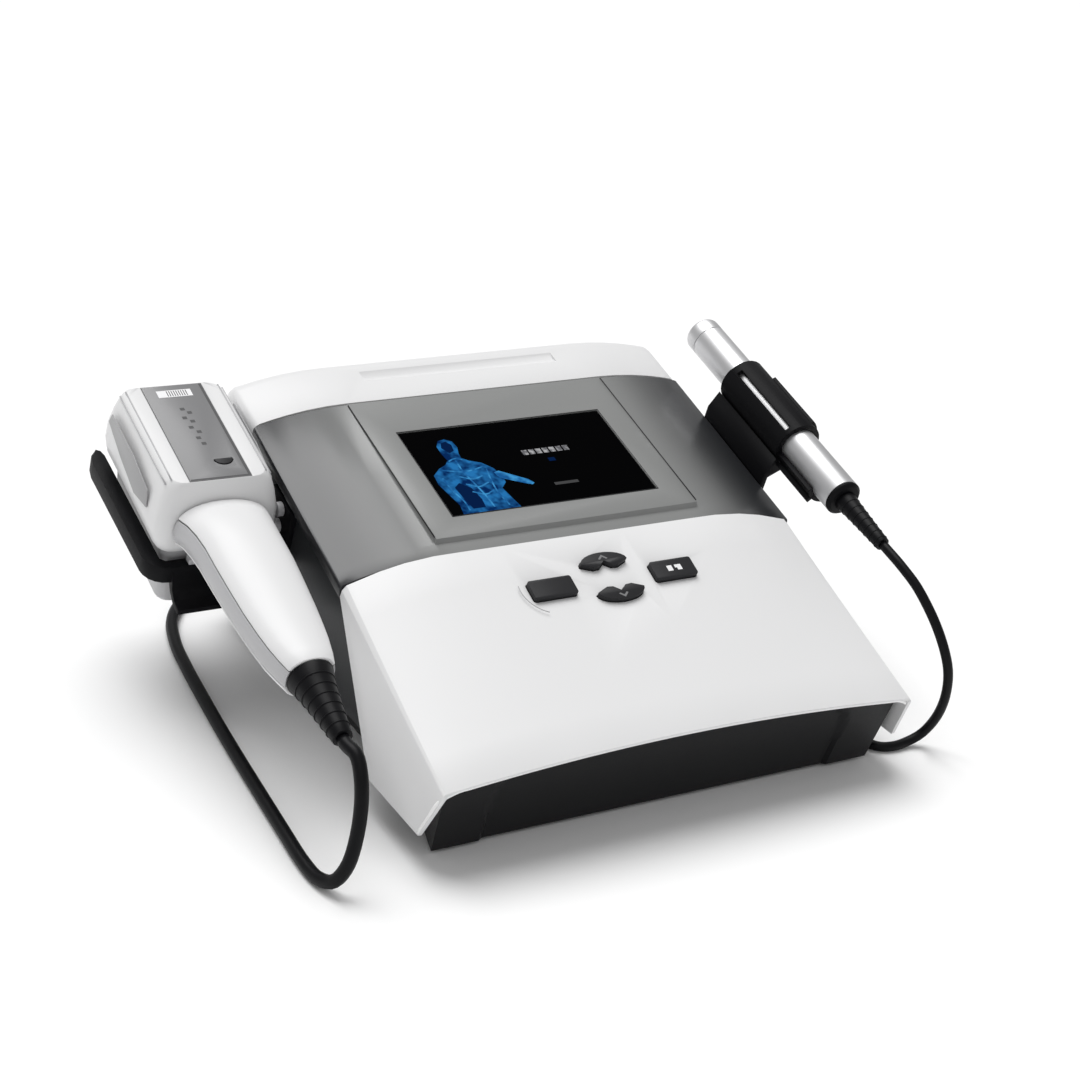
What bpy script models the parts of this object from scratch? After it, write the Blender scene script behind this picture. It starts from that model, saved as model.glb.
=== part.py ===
"""Desktop ultrasound therapy device: console, two applicators in side holders, and their leads.

Sizes are written in millimetres and the helpers turn them into metres.  Three tilted frames
are used, because the console's top, the applicator cradle and the probe clip share one slope:
in each of them +Y runs up the slope to the rear and +Z stands square to it.
"""
import math

import bmesh
import bpy
from mathutils import Matrix, Vector

MM = 0.001
GAP = 0.3                      # clearance left between pieces that touch
SLOPE = math.radians(15.3)     # display panel, cradle and probe
HOOD_SLOPE = math.radians(23.5)

# Placing of the whole device: the console's centre line, measured from the middle of the
# footprint that the console and both side holders cover together.
CONSOLE_X = 23.9
CONSOLE_Y = -14.5

# Console outline
HOOD_FRONT_Y = -163.5
HOOD_FRONT_Z = 66.3
HOOD_REAR_Y = -14.0
HOOD_REAR_Z = 128.5
HOOD_HALF = 169.0
SKIRT_HALF = 174.4
SKIRT_Z = 22.0
SKIRT_FRONT_Y = -148.2
SKIRT_REAR_Y = -82.0
PANEL_FRONT_Y = -13.4
PANEL_REAR_Y = 133.0
PANEL_HALF_FRONT = 167.5
PANEL_HALF_REAR = 164.4
FIELD_HALF = 97.5
FIELD_FRONT_Y = -2.2
FIELD_STEP = 3.4
PANEL_REF = (57.5, 150.0)      # y, z of the screen's centre, on the panel's plane
REAR_WALL_Y = 184.2
REAR_TOP_RADIUS = 12.0
WAIST_Z = 31.0                 # lower edge of the side covers and of the rear shell
FLOOR_Z = 3.0                  # underside of the base, on its feet
WALL = 2.6

# Screen
SCREEN_W = 154.0
SCREEN_H = 86.6

# Applicator, in its tilted frame: x across, y along, z square to the slope
APPLICATOR_AT = (-212.8, 72.0, 160.0)
APPLICATOR_TURN = math.radians(-1.2)
HEAD_MIDDLE_Y = 45.0
HEAD_SEAM = -50.0
HEAD_BOTTOM = -98.0
FACE_RADIUS = 22.2
HANDLE_END = -163.0
HANDLE_AXIS_Z = -20.0
RELIEF_LENGTH = 50.0

# Probe, in its tilted frame with the origin half way along the barrel
PROBE_AT = (190.0, 53.9, 166.2)
PROBE_RADIUS = 13.0
PROBE_HALF = 95.4
CLIP_FRONT = -39.0
CLIP_REAR = 37.0
CLIP_OUTER = 17.0
CLIP_INNER = 13.4
CLIP_SLOT_DEG = 129.0          # direction of the clip's slot, from +X towards +Z
PROBE_RELIEF_LENGTH = 50.0

# Leads
LEAD_D = 8.5
LEAD_COIL_AT = (-45.0, 256.0)
LEAD_COIL_R = 50.0
PROBE_LEAD_D = 6.5
PROBE_COIL_AT = (66.0, 248.0)
PROBE_COIL_R = 38.0
COIL_SPREAD = 0.72             # strand circle of a coil, in lead diameters
SOCKET_Z = 66.0
SOCKET_X = (-125.0, 140.0)     # applicator, probe

COLOURS = {
    "white_shell": ((0.86, 0.87, 0.88), 0.35, 0.0),
    "black_base": ((0.03, 0.03, 0.033), 0.5, 0.0),
    "panel_grey": ((0.17, 0.175, 0.18), 0.25, 0.0),
    "side_grey": ((0.09, 0.09, 0.095), 0.5, 0.0),
    "screen_black": ((0.01, 0.01, 0.012), 0.06, 0.0),
    "key_rubber": ((0.045, 0.046, 0.05), 0.55, 0.0),
    "holder_black": ((0.02, 0.02, 0.022), 0.4, 0.0),
    "label_grey": ((0.2, 0.21, 0.21), 0.4, 0.0),
    "light_grey": ((0.42, 0.43, 0.43), 0.45, 0.0),
    "aluminium": ((0.72, 0.73, 0.74), 0.3, 1.0),
    "steel": ((0.6, 0.6, 0.61), 0.35, 1.0),
    "lead_rubber": ((0.012, 0.012, 0.013), 0.45, 0.0),
    "board_green": ((0.02, 0.16, 0.07), 0.5, 0.0),
    "ceramic": ((0.75, 0.7, 0.6), 0.5, 0.0),
    "foot_rubber": ((0.02, 0.02, 0.02), 0.8, 0.0),
}


# ---------------------------------------------------------------- scene helpers

def clear_scene():
    for obj in list(bpy.data.objects):
        bpy.data.objects.remove(obj, do_unlink=True)


def make_collection(name):
    collection = bpy.data.collections.new(name)
    bpy.context.scene.collection.children.link(collection)
    return collection


def make_material(name, slot):
    colour, roughness, metallic = COLOURS[slot]
    mat = bpy.data.materials.new(name)
    mat.use_nodes = True
    shader = mat.node_tree.nodes["Principled BSDF"]
    shader.inputs["Base Color"].default_value = (*colour, 1.0)
    shader.inputs["Roughness"].default_value = roughness
    shader.inputs["Metallic"].default_value = metallic
    return mat


def frame_empty(name, at, tilt=0.0, parent=None, spin=0.0):
    """An empty that carries pieces: placed in millimetres, spun about Z, then tilted about X."""
    empty = bpy.data.objects.new(name, None)
    empty.location = Vector(at) * MM
    empty.rotation_mode = "ZYX"
    empty.rotation_euler = (tilt, 0.0, spin)
    empty.parent = parent
    PARTS.objects.link(empty)
    return empty


def place(name, data, slot, parent, at=(0, 0, 0), turn=(0, 0, 0)):
    """Link a mesh or curve as the object of one piece; slot None makes it a cutter."""
    obj = bpy.data.objects.new(name, data)
    obj.location = Vector(at) * MM
    obj.rotation_euler = turn
    obj.parent = parent
    if slot is None:
        CUTTERS.objects.link(obj)
        obj.hide_render = True
        obj.display_type = "WIRE"
    else:
        PARTS.objects.link(obj)
        data.materials.append(make_material(name, slot))
    return obj


def finish_mesh(name, bm, smooth=False):
    for vert in bm.verts:
        vert.co *= MM
    mesh = bpy.data.meshes.new(name)
    bm.to_mesh(mesh)
    bm.free()
    if smooth:
        mesh.shade_smooth()
        mesh.set_sharp_from_angle(angle=math.radians(35))
    return mesh


def bevel(obj, width, segments=2):
    mod = obj.modifiers.new("round_edges", "BEVEL")
    mod.width = width * MM
    mod.segments = segments
    mod.limit_method = "ANGLE"
    mod.angle_limit = math.radians(40)
    return obj


def solidify(obj, thickness, offset=-1.0):
    mod = obj.modifiers.new("wall", "SOLIDIFY")
    mod.thickness = thickness * MM
    mod.offset = offset
    mod.use_even_offset = True
    return obj


def boolean(obj, other, operation="DIFFERENCE"):
    mod = obj.modifiers.new(operation.lower(), "BOOLEAN")
    mod.operation = operation
    mod.object = other
    mod.solver = "EXACT"
    return obj


def box(name, slot, parent, size, at, turn=(0, 0, 0), rounding=0.0, segments=2):
    bm = bmesh.new()
    bmesh.ops.create_cube(bm, size=1.0)
    bmesh.ops.scale(bm, vec=Vector(size), verts=bm.verts)
    obj = place(name, finish_mesh(name, bm), slot, parent, at, turn)
    if rounding:
        bevel(obj, rounding, segments)
    return obj


def cylinder(name, slot, parent, radius, depth, at, turn=(0, 0, 0), sides=28, top=None):
    """A cylinder or cone about its own Z, centred at the given place."""
    bm = bmesh.new()
    bmesh.ops.create_cone(bm, cap_ends=True, segments=sides, radius1=radius,
                          radius2=radius if top is None else top, depth=depth)
    return place(name, finish_mesh(name, bm, smooth=True), slot, parent, at, turn)


def turned(name, slot, parent, profile, at=(0, 0, 0), turn=(0, 0, 0), steps=28):
    """Turn a closed (radius, height) profile about Z; it runs down its outer side."""
    bm = bmesh.new()
    verts = [bm.verts.new((radius, 0, height)) for radius, height in profile]
    for first, second in zip(verts, verts[1:] + verts[:1]):
        if first.co.x or second.co.x:
            bm.edges.new((first, second))
    obj = place(name, finish_mesh(name, bm), slot, parent, at, turn)
    mod = obj.modifiers.new("turn", "SCREW")
    mod.angle = 2 * math.pi
    mod.steps = steps
    mod.render_steps = steps
    mod.use_merge_vertices = True
    mod.merge_threshold = 0.00001
    return obj


def outline(name, slot, parent, loops, thickness, at=(0, 0, 0), turn=(0, 0, 0)):
    """A flat plate: closed outlines in its own XY plane, inner ones being holes."""
    curve = bpy.data.curves.new(name, "CURVE")
    curve.dimensions = "2D"
    curve.fill_mode = "BOTH"
    curve.extrude = thickness * MM / 2
    for loop in loops:
        spline = curve.splines.new("POLY")
        spline.points.add(len(loop) - 1)
        for point, (x, y) in zip(spline.points, loop):
            point.co = (x * MM, y * MM, 0, 1)
        spline.use_cyclic_u = True
    return place(name, curve, slot, parent, at, turn)


def to_mesh(obj):
    """Swap a curve object for a welded mesh object of the same name and place."""
    bpy.context.view_layer.update()
    name, parent, matrix = obj.name, obj.parent, obj.matrix_world.copy()
    graph = bpy.context.evaluated_depsgraph_get()
    mesh = bpy.data.meshes.new_from_object(obj.evaluated_get(graph))
    bm = bmesh.new()
    bm.from_mesh(mesh)
    bmesh.ops.remove_doubles(bm, verts=bm.verts, dist=0.000001)
    bm.to_mesh(mesh)
    bm.free()
    users = list(obj.users_collection)
    hidden, display = obj.hide_render, obj.display_type
    bpy.data.objects.remove(obj, do_unlink=True)
    new = bpy.data.objects.new(name, mesh)
    new.hide_render = hidden
    new.display_type = display
    for collection in users:
        collection.objects.link(new)
    new.parent = parent
    new.matrix_world = matrix
    return new


def sheet_mesh(name, rows, close=False):
    """An open surface through rows of points; coinciding points are welded."""
    bm = bmesh.new()
    grid = [[bm.verts.new(point) for point in row] for row in rows]
    for near, far in zip(grid, grid[1:]):
        count = len(near)
        for i in range(count if close else count - 1):
            j = (i + 1) % count
            bm.faces.new((near[i], near[j], far[j], far[i]))
    bmesh.ops.remove_doubles(bm, verts=bm.verts, dist=0.001)
    bmesh.ops.dissolve_degenerate(bm, edges=bm.edges, dist=0.001)
    return bm


def shell(name, slot, parent, rows, thickness, outward, at=(0, 0, 0)):
    """A moulded wall: the outer surface through the rows, thickened inwards.

    outward is a point outside the first face, which settles the side that counts as outer.
    """
    bm = sheet_mesh(name, rows)
    bmesh.ops.recalc_face_normals(bm, faces=bm.faces)
    bm.faces.ensure_lookup_table()
    nearest = min(bm.faces, key=lambda f: (f.calc_center_median() - Vector(outward)).length)
    if nearest.normal.dot(Vector(outward) - nearest.calc_center_median()) < 0:
        bmesh.ops.reverse_faces(bm, faces=bm.faces)
    obj = place(name, finish_mesh(name, bm, smooth=True), slot, parent, at)
    return solidify(obj, thickness)


def lerp(first, second, t):
    return first + (second - first) * t


def rounded_rect(width, height, radius, steps=4, centre=(0.0, 0.0)):
    points = []
    for sx, sy, start in ((1, 1, 0), (-1, 1, 90), (-1, -1, 180), (1, -1, 270)):
        for k in range(steps + 1):
            angle = math.radians(start + 90 * k / steps)
            points.append((centre[0] + sx * (width / 2 - radius) + radius * math.cos(angle),
                           centre[1] + sy * (height / 2 - radius) + radius * math.sin(angle)))
    return points


def super_ring(half_x, half_z, centre_z, y, count=20, power=2.6, start=0.0, end=360.0):
    """Points of a rounded section in an XZ plane; a full ring leaves out its last point."""
    full = end - start >= 360.0
    points = []
    for k in range(count):
        angle = math.radians(start + (end - start) * k / (count if full else count - 1))
        c, s = math.cos(angle), math.sin(angle)
        points.append((half_x * math.copysign(abs(c) ** (2 / power), c), y,
                       centre_z + half_z * math.copysign(abs(s) ** (2 / power), s)))
    return points


def smooth_route(points, spacing):
    """Even points along a centripetal curve through hand-set route points."""
    pts = [Vector(p) for p in points]
    pts = [pts[0] * 2 - pts[1]] + pts + [pts[-1] * 2 - pts[-2]]
    fine = []
    for p0, p1, p2, p3 in zip(pts, pts[1:], pts[2:], pts[3:]):
        t1 = (p1 - p0).length ** 0.5
        t2 = t1 + (p2 - p1).length ** 0.5
        t3 = t2 + (p3 - p2).length ** 0.5
        for k in range(16):
            t = lerp(t1, t2, k / 16)
            a1 = p0.lerp(p1, t / t1)
            a2 = p1.lerp(p2, (t - t1) / (t2 - t1))
            a3 = p2.lerp(p3, (t - t2) / (t3 - t2))
            b1 = a1.lerp(a2, t / t2)
            b2 = a2.lerp(a3, (t - t1) / (t3 - t1))
            fine.append(b1.lerp(b2, (t - t1) / (t2 - t1)))
    fine.append(pts[-2])
    length = sum((b - a).length for a, b in zip(fine, fine[1:]))
    count = max(2, round(length / spacing))
    out, run, goal = [fine[0]], 0.0, length / count
    for a, b in zip(fine, fine[1:]):
        step = (b - a).length
        while run + step >= goal * len(out) and len(out) < count:
            out.append(a.lerp(b, (goal * len(out) - run) / step))
        run += step
    out.append(fine[-1])
    return out


def grown(loop, by):
    """A closed outline moved outwards by a distance, corner by corner."""
    area = sum(a[0] * b[1] - b[0] * a[1] for a, b in zip(loop, loop[1:] + loop[:1]))
    side = by if area > 0 else -by
    out = []
    for before, here, after in zip(loop[-1:] + loop[:-1], loop, loop[1:] + loop[:1]):
        first = Vector((here[1] - before[1], before[0] - here[0])).normalized()
        second = Vector((after[1] - here[1], here[0] - after[0])).normalized()
        middle = first + second
        middle *= side / max(0.5, middle.dot(first))
        out.append((here[0] + middle.x, here[1] + middle.y))
    return out


def ring_distance(point, centre, radius, height):
    """Distance from a point to the core circle of a coil."""
    flat = math.hypot(point.x - centre[0], point.y - centre[1]) - radius
    return math.hypot(flat, point.z - height)


def lead_tube(name, parent, points, diameter):
    curve = bpy.data.curves.new(name, "CURVE")
    curve.dimensions = "3D"
    curve.bevel_depth = diameter * MM / 2
    curve.bevel_resolution = 2
    curve.use_fill_caps = True
    spline = curve.splines.new("POLY")
    spline.points.add(len(points) - 1)
    for target, point in zip(spline.points, points):
        target.co = (*(point * MM), 1)
    return place(name, curve, "lead_rubber", parent)


# ---------------------------------------------------------------- console shells

def panel_plane(y):
    """Height of the screen's plane at a depth y."""
    return PANEL_REF[1] + (y - PANEL_REF[0]) * math.tan(SLOPE)


def crown_drop(x, flat, half, depth):
    """How far a crowned surface falls below its middle: nothing out to flat, depth at half."""
    reach = max(0.0, abs(x) - flat) / (half - flat)
    return depth * reach * reach


def corner_side(x, z, radius, steps=3):
    """A rounded shoulder at (x, z) on the +X side: from the top, round to the side."""
    points = []
    for k in range(steps + 1):
        angle = math.radians(90 - 90 * k / steps)
        points.append((x - radius + radius * math.cos(angle),
                       z - radius + radius * math.sin(angle)))
    return points


def hood_row(t):
    """One line of the hood's outer surface, from the left skirt over the top to the right."""
    y_top = lerp(HOOD_FRONT_Y, HOOD_REAR_Y, t)
    y_low = lerp(SKIRT_FRONT_Y, SKIRT_REAR_Y, t)
    z_mid = lerp(HOOD_FRONT_Z, HOOD_REAR_Z, t)
    flat = lerp(0.0, FIELD_HALF, t)
    depth = lerp(9.4, 13.0, t)
    half = lerp(HOOD_HALF, PANEL_HALF_FRONT, t)
    radius = lerp(3.0, 8.0, t)
    xs = [0.0, 30.0, 60.0, 85.0, 105.0, 125.0, 142.0]
    top = [(x, y_top, z_mid - crown_drop(x, flat, half, depth)) for x in xs]
    edge_z = z_mid - crown_drop(half - radius, flat, half, depth)
    side = [(x, y_top, z) for x, z in corner_side(half, edge_z, radius)]
    start = side[-1]
    low = (SKIRT_HALF, y_low, SKIRT_Z)
    side += [tuple(lerp(a, b, k / 3) for a, b in zip(start, low)) for k in (1, 2, 3)]
    right = top + side
    left = [(-x, y, z) for x, y, z in reversed(right[1:])]
    return left + right


def build_front_hood(frame):
    rows = [hood_row(k / 6) for k in range(7)]
    hood = shell("front_hood", "white_shell", frame, rows, WALL, (0, -90, 400))
    return hood


def panel_row(y, raised):
    """One line across the display panel, with its side lips; raised marks the screen field."""
    t = (y - PANEL_FRONT_Y) / (PANEL_REAR_Y - PANEL_FRONT_Y)
    half = lerp(PANEL_HALF_FRONT, PANEL_HALF_REAR, t)
    step = lerp(FIELD_STEP, 0.4, t)
    depth = lerp(14.2, 9.2, t) - step
    plane = panel_plane(y)
    inner = [0.0, 48.0, FIELD_HALF]
    right = [(x, y, plane if raised else plane - step) for x in inner]
    xs = [FIELD_HALF + 0.8, 112.0, 127.0, 141.0, 153.0]
    wing = [(x, y, plane - step - crown_drop(x, FIELD_HALF, half, depth)) for x in xs]
    edge_z = plane - step - crown_drop(half - 2, FIELD_HALF, half, depth)
    wing += [(x, y, z) for x, z in corner_side(half, edge_z, 2.0, 2)]
    wing.append((half, y, edge_z - 8.0))
    right += wing
    left = [(-x, y, z) for x, y, z in reversed(right[1:])]
    return left + right


def build_display_bezel(frame, panel):
    front = PANEL_FRONT_Y + GAP
    rows = [panel_row(front, False), panel_row(FIELD_FRONT_Y - 0.8, False),
            panel_row(FIELD_FRONT_Y, True), panel_row(65.0, True), panel_row(PANEL_REAR_Y, True)]
    bezel = shell("display_bezel", "panel_grey", frame, rows, WALL, (0, 60, 400))
    window = box("screen_window", None, panel, (SCREEN_W, SCREEN_H, 12), (0, 0, 0))
    return boolean(bezel, window)


def build_screen(panel):
    box("screen_glass", "screen_black", panel, (SCREEN_W - 2 * GAP, SCREEN_H - 2 * GAP, 2.2),
        (0, 0, -1.3), rounding=0.4, segments=1)
    box("lcd_module", "steel", panel, (164, 99, 7), (0, 0, -WALL - GAP - 3.7))


def rear_profile(x, front):
    """Side line of the rear shell at a distance x from the middle: over the top and down."""
    half = PANEL_HALF_REAR
    drop = crown_drop(x, FIELD_HALF, half, 9.2)
    centre_y = REAR_WALL_Y - REAR_TOP_RADIUS
    centre_z = panel_plane(centre_y) - REAR_TOP_RADIUS / math.cos(SLOPE) - drop
    points = [(front, panel_plane(front) - drop)]
    points.append((lerp(front, centre_y, 0.5), panel_plane(lerp(front, centre_y, 0.5)) - drop))
    for k in range(6):
        angle = math.radians(lerp(105.3, 0, k / 5))
        points.append((centre_y + REAR_TOP_RADIUS * math.cos(angle),
                       centre_z + REAR_TOP_RADIUS * math.sin(angle)))
    points.append((REAR_WALL_Y, 100.0))
    points.append((REAR_WALL_Y, WAIST_Z))
    return points


def build_rear_shell(frame):
    front = PANEL_REAR_Y + 4 * GAP
    half = PANEL_HALF_REAR
    shoulder = 5.0
    columns = []
    for x in (0.0, 48.0, FIELD_HALF, 112.0, 127.0, 141.0, 152.0, half - shoulder):
        columns.append([(x, y, z) for y, z in rear_profile(x, front)])
    for k in (1, 2, 3):
        angle = math.radians(30 * k)
        inset = shoulder * (1 - math.cos(angle))
        x = half - shoulder + shoulder * math.sin(angle)
        column = []
        for y, z in rear_profile(x, front):
            back = min(1.0, max(0.0, (y - front) / (REAR_WALL_Y - front)))
            column.append((x, y - inset * back, z - (inset if z > WAIST_Z else 0.0)))
        columns.append(column)
    edge = columns[-1]
    top_z = edge[0][2]
    low_z = edge[-1][2]
    count = len(edge) - 1
    columns.append([(half, front, lerp(top_z, low_z, i / count)) for i in range(count + 1)])
    right = columns
    left = [[(-x, y, z) for x, y, z in column] for column in reversed(right[1:])]
    rear = shell("rear_shell", "white_shell", frame, left + right, WALL, (0, 150, 400))
    window = box("rear_window", None, frame, (310, 12, 72), (0, REAR_WALL_Y - 2, 74))
    boolean(rear, window)
    grip = cylinder("grip_groove", None, frame, 9.0, 150.0, (0, 158.0, panel_plane(158.0) + 7.6),
                    (0, math.pi / 2, 0), sides=20)
    return boolean(rear, grip)


def build_side_covers(frame):
    """Flat dark walls between the hood and the rear shell, standing on the tray's rim."""
    loop = [(-70.0, WAIST_Z), (PANEL_REAR_Y + 2, WAIST_Z), (PANEL_REAR_Y + 2, 148.0),
            (-12.0, 104.0), (-22.0, 97.0), (-70.0, 44.0)]
    for side, name in ((-1, "side_cover_left"), (1, "side_cover_right")):
        outline(name, "side_grey", frame, [loop], WALL, (side * 159.3, 0, 0),
                (math.pi / 2, 0, math.pi / 2))


def build_base_tray(frame):
    low = [(-144, -91.5), (144, -91.5), (137, 170), (-137, 170)]
    high = [(-158, -91.5), (158, -91.5), (158, 181), (-158, 181)]
    rows = []
    for loop, z in ((low, FLOOR_Z), (high, WAIST_Z - GAP)):
        rows.append([(x, y, z) for x, y in loop])
    bm = sheet_mesh("base_tray", rows, close=True)
    bm.verts.ensure_lookup_table()
    bm.faces.new([v for v in bm.verts if v.co.z < FLOOR_Z + 1])
    bmesh.ops.recalc_face_normals(bm, faces=bm.faces)
    floor = min(bm.faces, key=lambda f: f.calc_center_median().z)
    if floor.normal.z > 0:
        bmesh.ops.reverse_faces(bm, faces=bm.faces)
    tray = place("base_tray", finish_mesh("base_tray", bm), "black_base", frame)
    solidify(tray, WALL)
    bosses = bmesh.new()
    for x, y, top in ((-130, 18, 23.2), (5, 18, 23.2), (-130, 112, 23.2), (5, 112, 23.2),
                      (26, -72, 17.2), (126, -72, 17.2), (26, 2, 17.2), (126, 2, 17.2)):
        height = top - GAP - FLOOR_Z - WALL / 2
        spot = Matrix.Translation((x, y, top - GAP - height / 2))
        bmesh.ops.create_cone(bosses, cap_ends=True, segments=8, radius1=3.2, radius2=3.2,
                              depth=height, matrix=spot)
    posts = place("board_bosses", finish_mesh("board_bosses", bosses), None, frame)
    boolean(tray, posts, "UNION")


def build_front_base(frame):
    """The black nose under the hood, open at the top and at the rear."""
    low = [(-146, -92.5), (-160, -140), (160, -140), (146, -92.5)]
    high = [(-160, -92.5), (-163.5, -156), (163.5, -156), (160, -92.5)]
    rows = [[(x, y, FLOOR_Z) for x, y in low],
            [(x, y, 46.0 if y > -100 else 51.0) for x, y in high]]
    bm = sheet_mesh("front_base", rows)
    bm.faces.new([v for v in bm.verts if v.co.z < FLOOR_Z + 1])
    bmesh.ops.recalc_face_normals(bm, faces=bm.faces)
    floor = min(bm.faces, key=lambda f: f.calc_center_median().z)
    if floor.normal.z > 0:
        bmesh.ops.reverse_faces(bm, faces=bm.faces)
    nose = place("front_base", finish_mesh("front_base", bm), "black_base", frame)
    solidify(nose, 3.0)
    recess = box("nose_recess", None, frame, (250, 8, 42), (0, -151.2, 27.0),
                 (math.radians(18.4), 0, 0), rounding=2.5)
    boolean(nose, recess)


def build_feet(frame):
    for name, x, y in (("foot_front_left", -122, -118), ("foot_front_right", 122, -118),
                       ("foot_rear_left", -112, 148), ("foot_rear_right", 112, 148)):
        height = FLOOR_Z - GAP
        cylinder(name, "foot_rubber", frame, 8.5, height, (x, y, height / 2), sides=20, top=9.5)


# ---------------------------------------------------------------- keys and electronics

def key_outline_arc(rise):
    """A lens-shaped key with one notched side; rise is +1 for up and -1 for down."""
    points = []
    for k in range(13):
        angle = math.radians(lerp(0, 180, k / 12))
        points.append((17.0 * math.cos(angle), rise * 7.6 * math.sin(angle)))
    notch = [(-9.0, -rise * 3.6), (-4.5, -rise * 3.2), (0.0, rise * 0.6),
             (4.5, -rise * 3.2), (9.0, -rise * 3.6)]
    points += notch
    return points if rise > 0 else [points[0]] + points[:0:-1]


def build_keys(hood):
    """Four console keys on the hood's slope; each slides in along its own -Z."""
    side_key = rounded_rect(31.0, 14.6, 1.6, 3)
    keys = (("key_menu", (-40.5, 36.0), side_key), ("key_start", (49.0, 36.0), side_key),
            ("key_up", (3.5, 49.6), key_outline_arc(1)), ("key_down", (4.5, 26.0),
                                                         key_outline_arc(-1)))
    holes = []
    for name, (x, y), loop in keys:
        outline(name, "key_rubber", hood, [loop], 4.6, (x, y, -0.6))
        wide = grown(loop, 0.45)
        holes.append(to_mesh(outline(name + "_hole", None, hood, [wide], 30, (x, y, 0))))
    box("key_board", "board_green", hood, (112, 48, 1.6), (4, 36, -10.5))
    return holes


def build_electronics(frame):
    deck = FLOOR_Z + WALL + GAP
    box("main_board", "board_green", frame, (150, 110, 1.6), (-62, 65, 24))
    box("generator_board", "board_green", frame, (120, 90, 1.6), (78, -35, 18))
    fins = bmesh.new()
    bmesh.ops.create_cube(fins, size=1.0)
    bmesh.ops.scale(fins, vec=Vector((60, 40, 16)), verts=fins.verts)
    sink = place("heatsink", finish_mesh("heatsink", fins), "aluminium", frame, (78, -35, 27.3))
    slots = bmesh.new()
    for k in range(6):
        at = Matrix.Translation((-25 + 10 * k, 0, 3.5)) @ Matrix.Diagonal((5.5, 60, 14, 1))
        bmesh.ops.create_cube(slots, size=1.0, matrix=at)
    cutter = place("fin_slots", finish_mesh("fin_slots", slots), None, frame, (78, -35, 27.3))
    boolean(sink, cutter)
    box("power_supply", "steel", frame, (110, 70, 34), (72, 95, deck + 17), rounding=1.0,
        segments=1)


# ---------------------------------------------------------------- rear panel

def build_rear_panel(frame):
    """The connector plate set in the rear shell, with everything that is plugged or switched."""
    plate_y = REAR_WALL_Y - 1.5
    turn = (math.pi / 2, 0, 0)
    circle = [(10.3 * math.cos(a), 10.3 * math.sin(a))
              for a in (math.radians(15 * k) for k in range(24))]
    holes = [[(x + sx, z - 8.0) for x, z in circle] for sx in SOCKET_X]
    holes.append(rounded_rect(28.6, 21.0, 1.0, 2, (40.0, -12.0)))
    holes.append(rounded_rect(11.0, 18.0, 1.0, 2, (82.0, -12.0)))
    for k in range(9):
        holes.append(rounded_rect(2.6, 26.0, 1.2, 2, (-76.0 + 8.5 * k, 0.0)))
    loop = rounded_rect(309.0, 71.0, 3.0, 3)
    outline("rear_panel", "side_grey", frame, [loop] + holes, 2.4, (0, plate_y, 74), turn)

    profile = [(6.4, 6.0), (10.0, 6.0), (10.0, -16.0), (0.0, -16.0), (0.0, -12.0), (6.4, -12.0)]
    for name, x in (("applicator_socket", SOCKET_X[0]), ("probe_socket", SOCKET_X[1])):
        turned(name, "steel", frame, profile, (x, REAR_WALL_Y, SOCKET_Z),
               (-math.pi / 2, 0, 0), 24)

    inlet = box("mains_inlet", "holder_black", frame, (28.0, 18, 20.4),
                (40, REAR_WALL_Y - 7.5, 62), rounding=0.8, segments=1)
    cavity = box("inlet_cavity", None, frame, (24.4, 16, 16.6), (40, REAR_WALL_Y - 4.5, 62),
                 rounding=1.5)
    boolean(inlet, cavity)
    pins = bmesh.new()
    for x, z in ((-7, -2.6), (7, -2.6), (0, 2.6)):
        shape = Matrix.Translation((x, 0, z)) @ Matrix.Diagonal((2.0, 8.0, 4.0, 1))
        bmesh.ops.create_cube(pins, size=1.0, matrix=shape)
    boolean(inlet, place("inlet_pins", finish_mesh("inlet_pins", pins), None, frame,
                         (40, REAR_WALL_Y - 10.0, 62)), "UNION")

    pivot = frame_empty("switch_pivot", (82, REAR_WALL_Y - 5.5, 62), parent=frame)
    rocker = [(-7.2, -4.0), (7.2, -4.0), (7.2, 5.0), (0.0, 3.2), (-7.2, 6.8)]
    outline("power_switch", "key_rubber", pivot, [rocker], 9.6, (0, 0, 0),
            (math.pi / 2, math.pi / 2, math.pi / 2))


# ---------------------------------------------------------------- applicator

# Stations of the head's upper shell: height, half width, front and rear
HEAD_UPPER = ((-50.0, 35.5, -10.0, 95.0), (-45.0, 38.6, -12.6, 97.0), (-36.0, 40.3, -14.0, 98.0),
              (-24.0, 40.0, -13.0, 98.0), (-12.0, 37.6, -9.4, 97.0), (-5.0, 35.4, -6.6, 96.0),
              (-1.6, 33.6, -5.0, 95.2), (0.0, 31.4, -4.4, 93.4))
HEAD_LOWER = ((-50.3, 33.0, -8.0, 93.0), (-56.0, 31.6, -6.4, 91.0), (-94.0, 29.4, -5.0, 88.5),
              (HEAD_BOTTOM, 27.4, -3.0, 86.5))


def head_ring(z, half_x, front, rear, radius=9.0):
    loop = rounded_rect(2 * half_x, rear - front, radius, 4, (0.0, (rear + front) / 2))
    return [(x, y, z) for x, y in loop]


def head_front(z):
    """Where the head's front face stands at a height z."""
    for low, high in zip(HEAD_UPPER, HEAD_UPPER[1:]):
        if low[0] <= z <= high[0]:
            return lerp(low[2], high[2], (z - low[0]) / (high[0] - low[0]))
    return HEAD_UPPER[0][2]


def open_box(name, slot, frame, rings, closed_at, wall):
    """A shell lofted through rings, closed at the height closed_at and open at the other end."""
    bm = sheet_mesh(name, rings, close=True)
    cap = bm.faces.new([v for v in bm.verts if abs(v.co.z - closed_at) < 0.01])
    bmesh.ops.recalc_face_normals(bm, faces=bm.faces)
    if cap.normal.z * (closed_at - HEAD_SEAM) < 0:
        bmesh.ops.reverse_faces(bm, faces=bm.faces)
    return solidify(place(name, finish_mesh(name, bm, smooth=True), slot, frame), wall)


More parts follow.
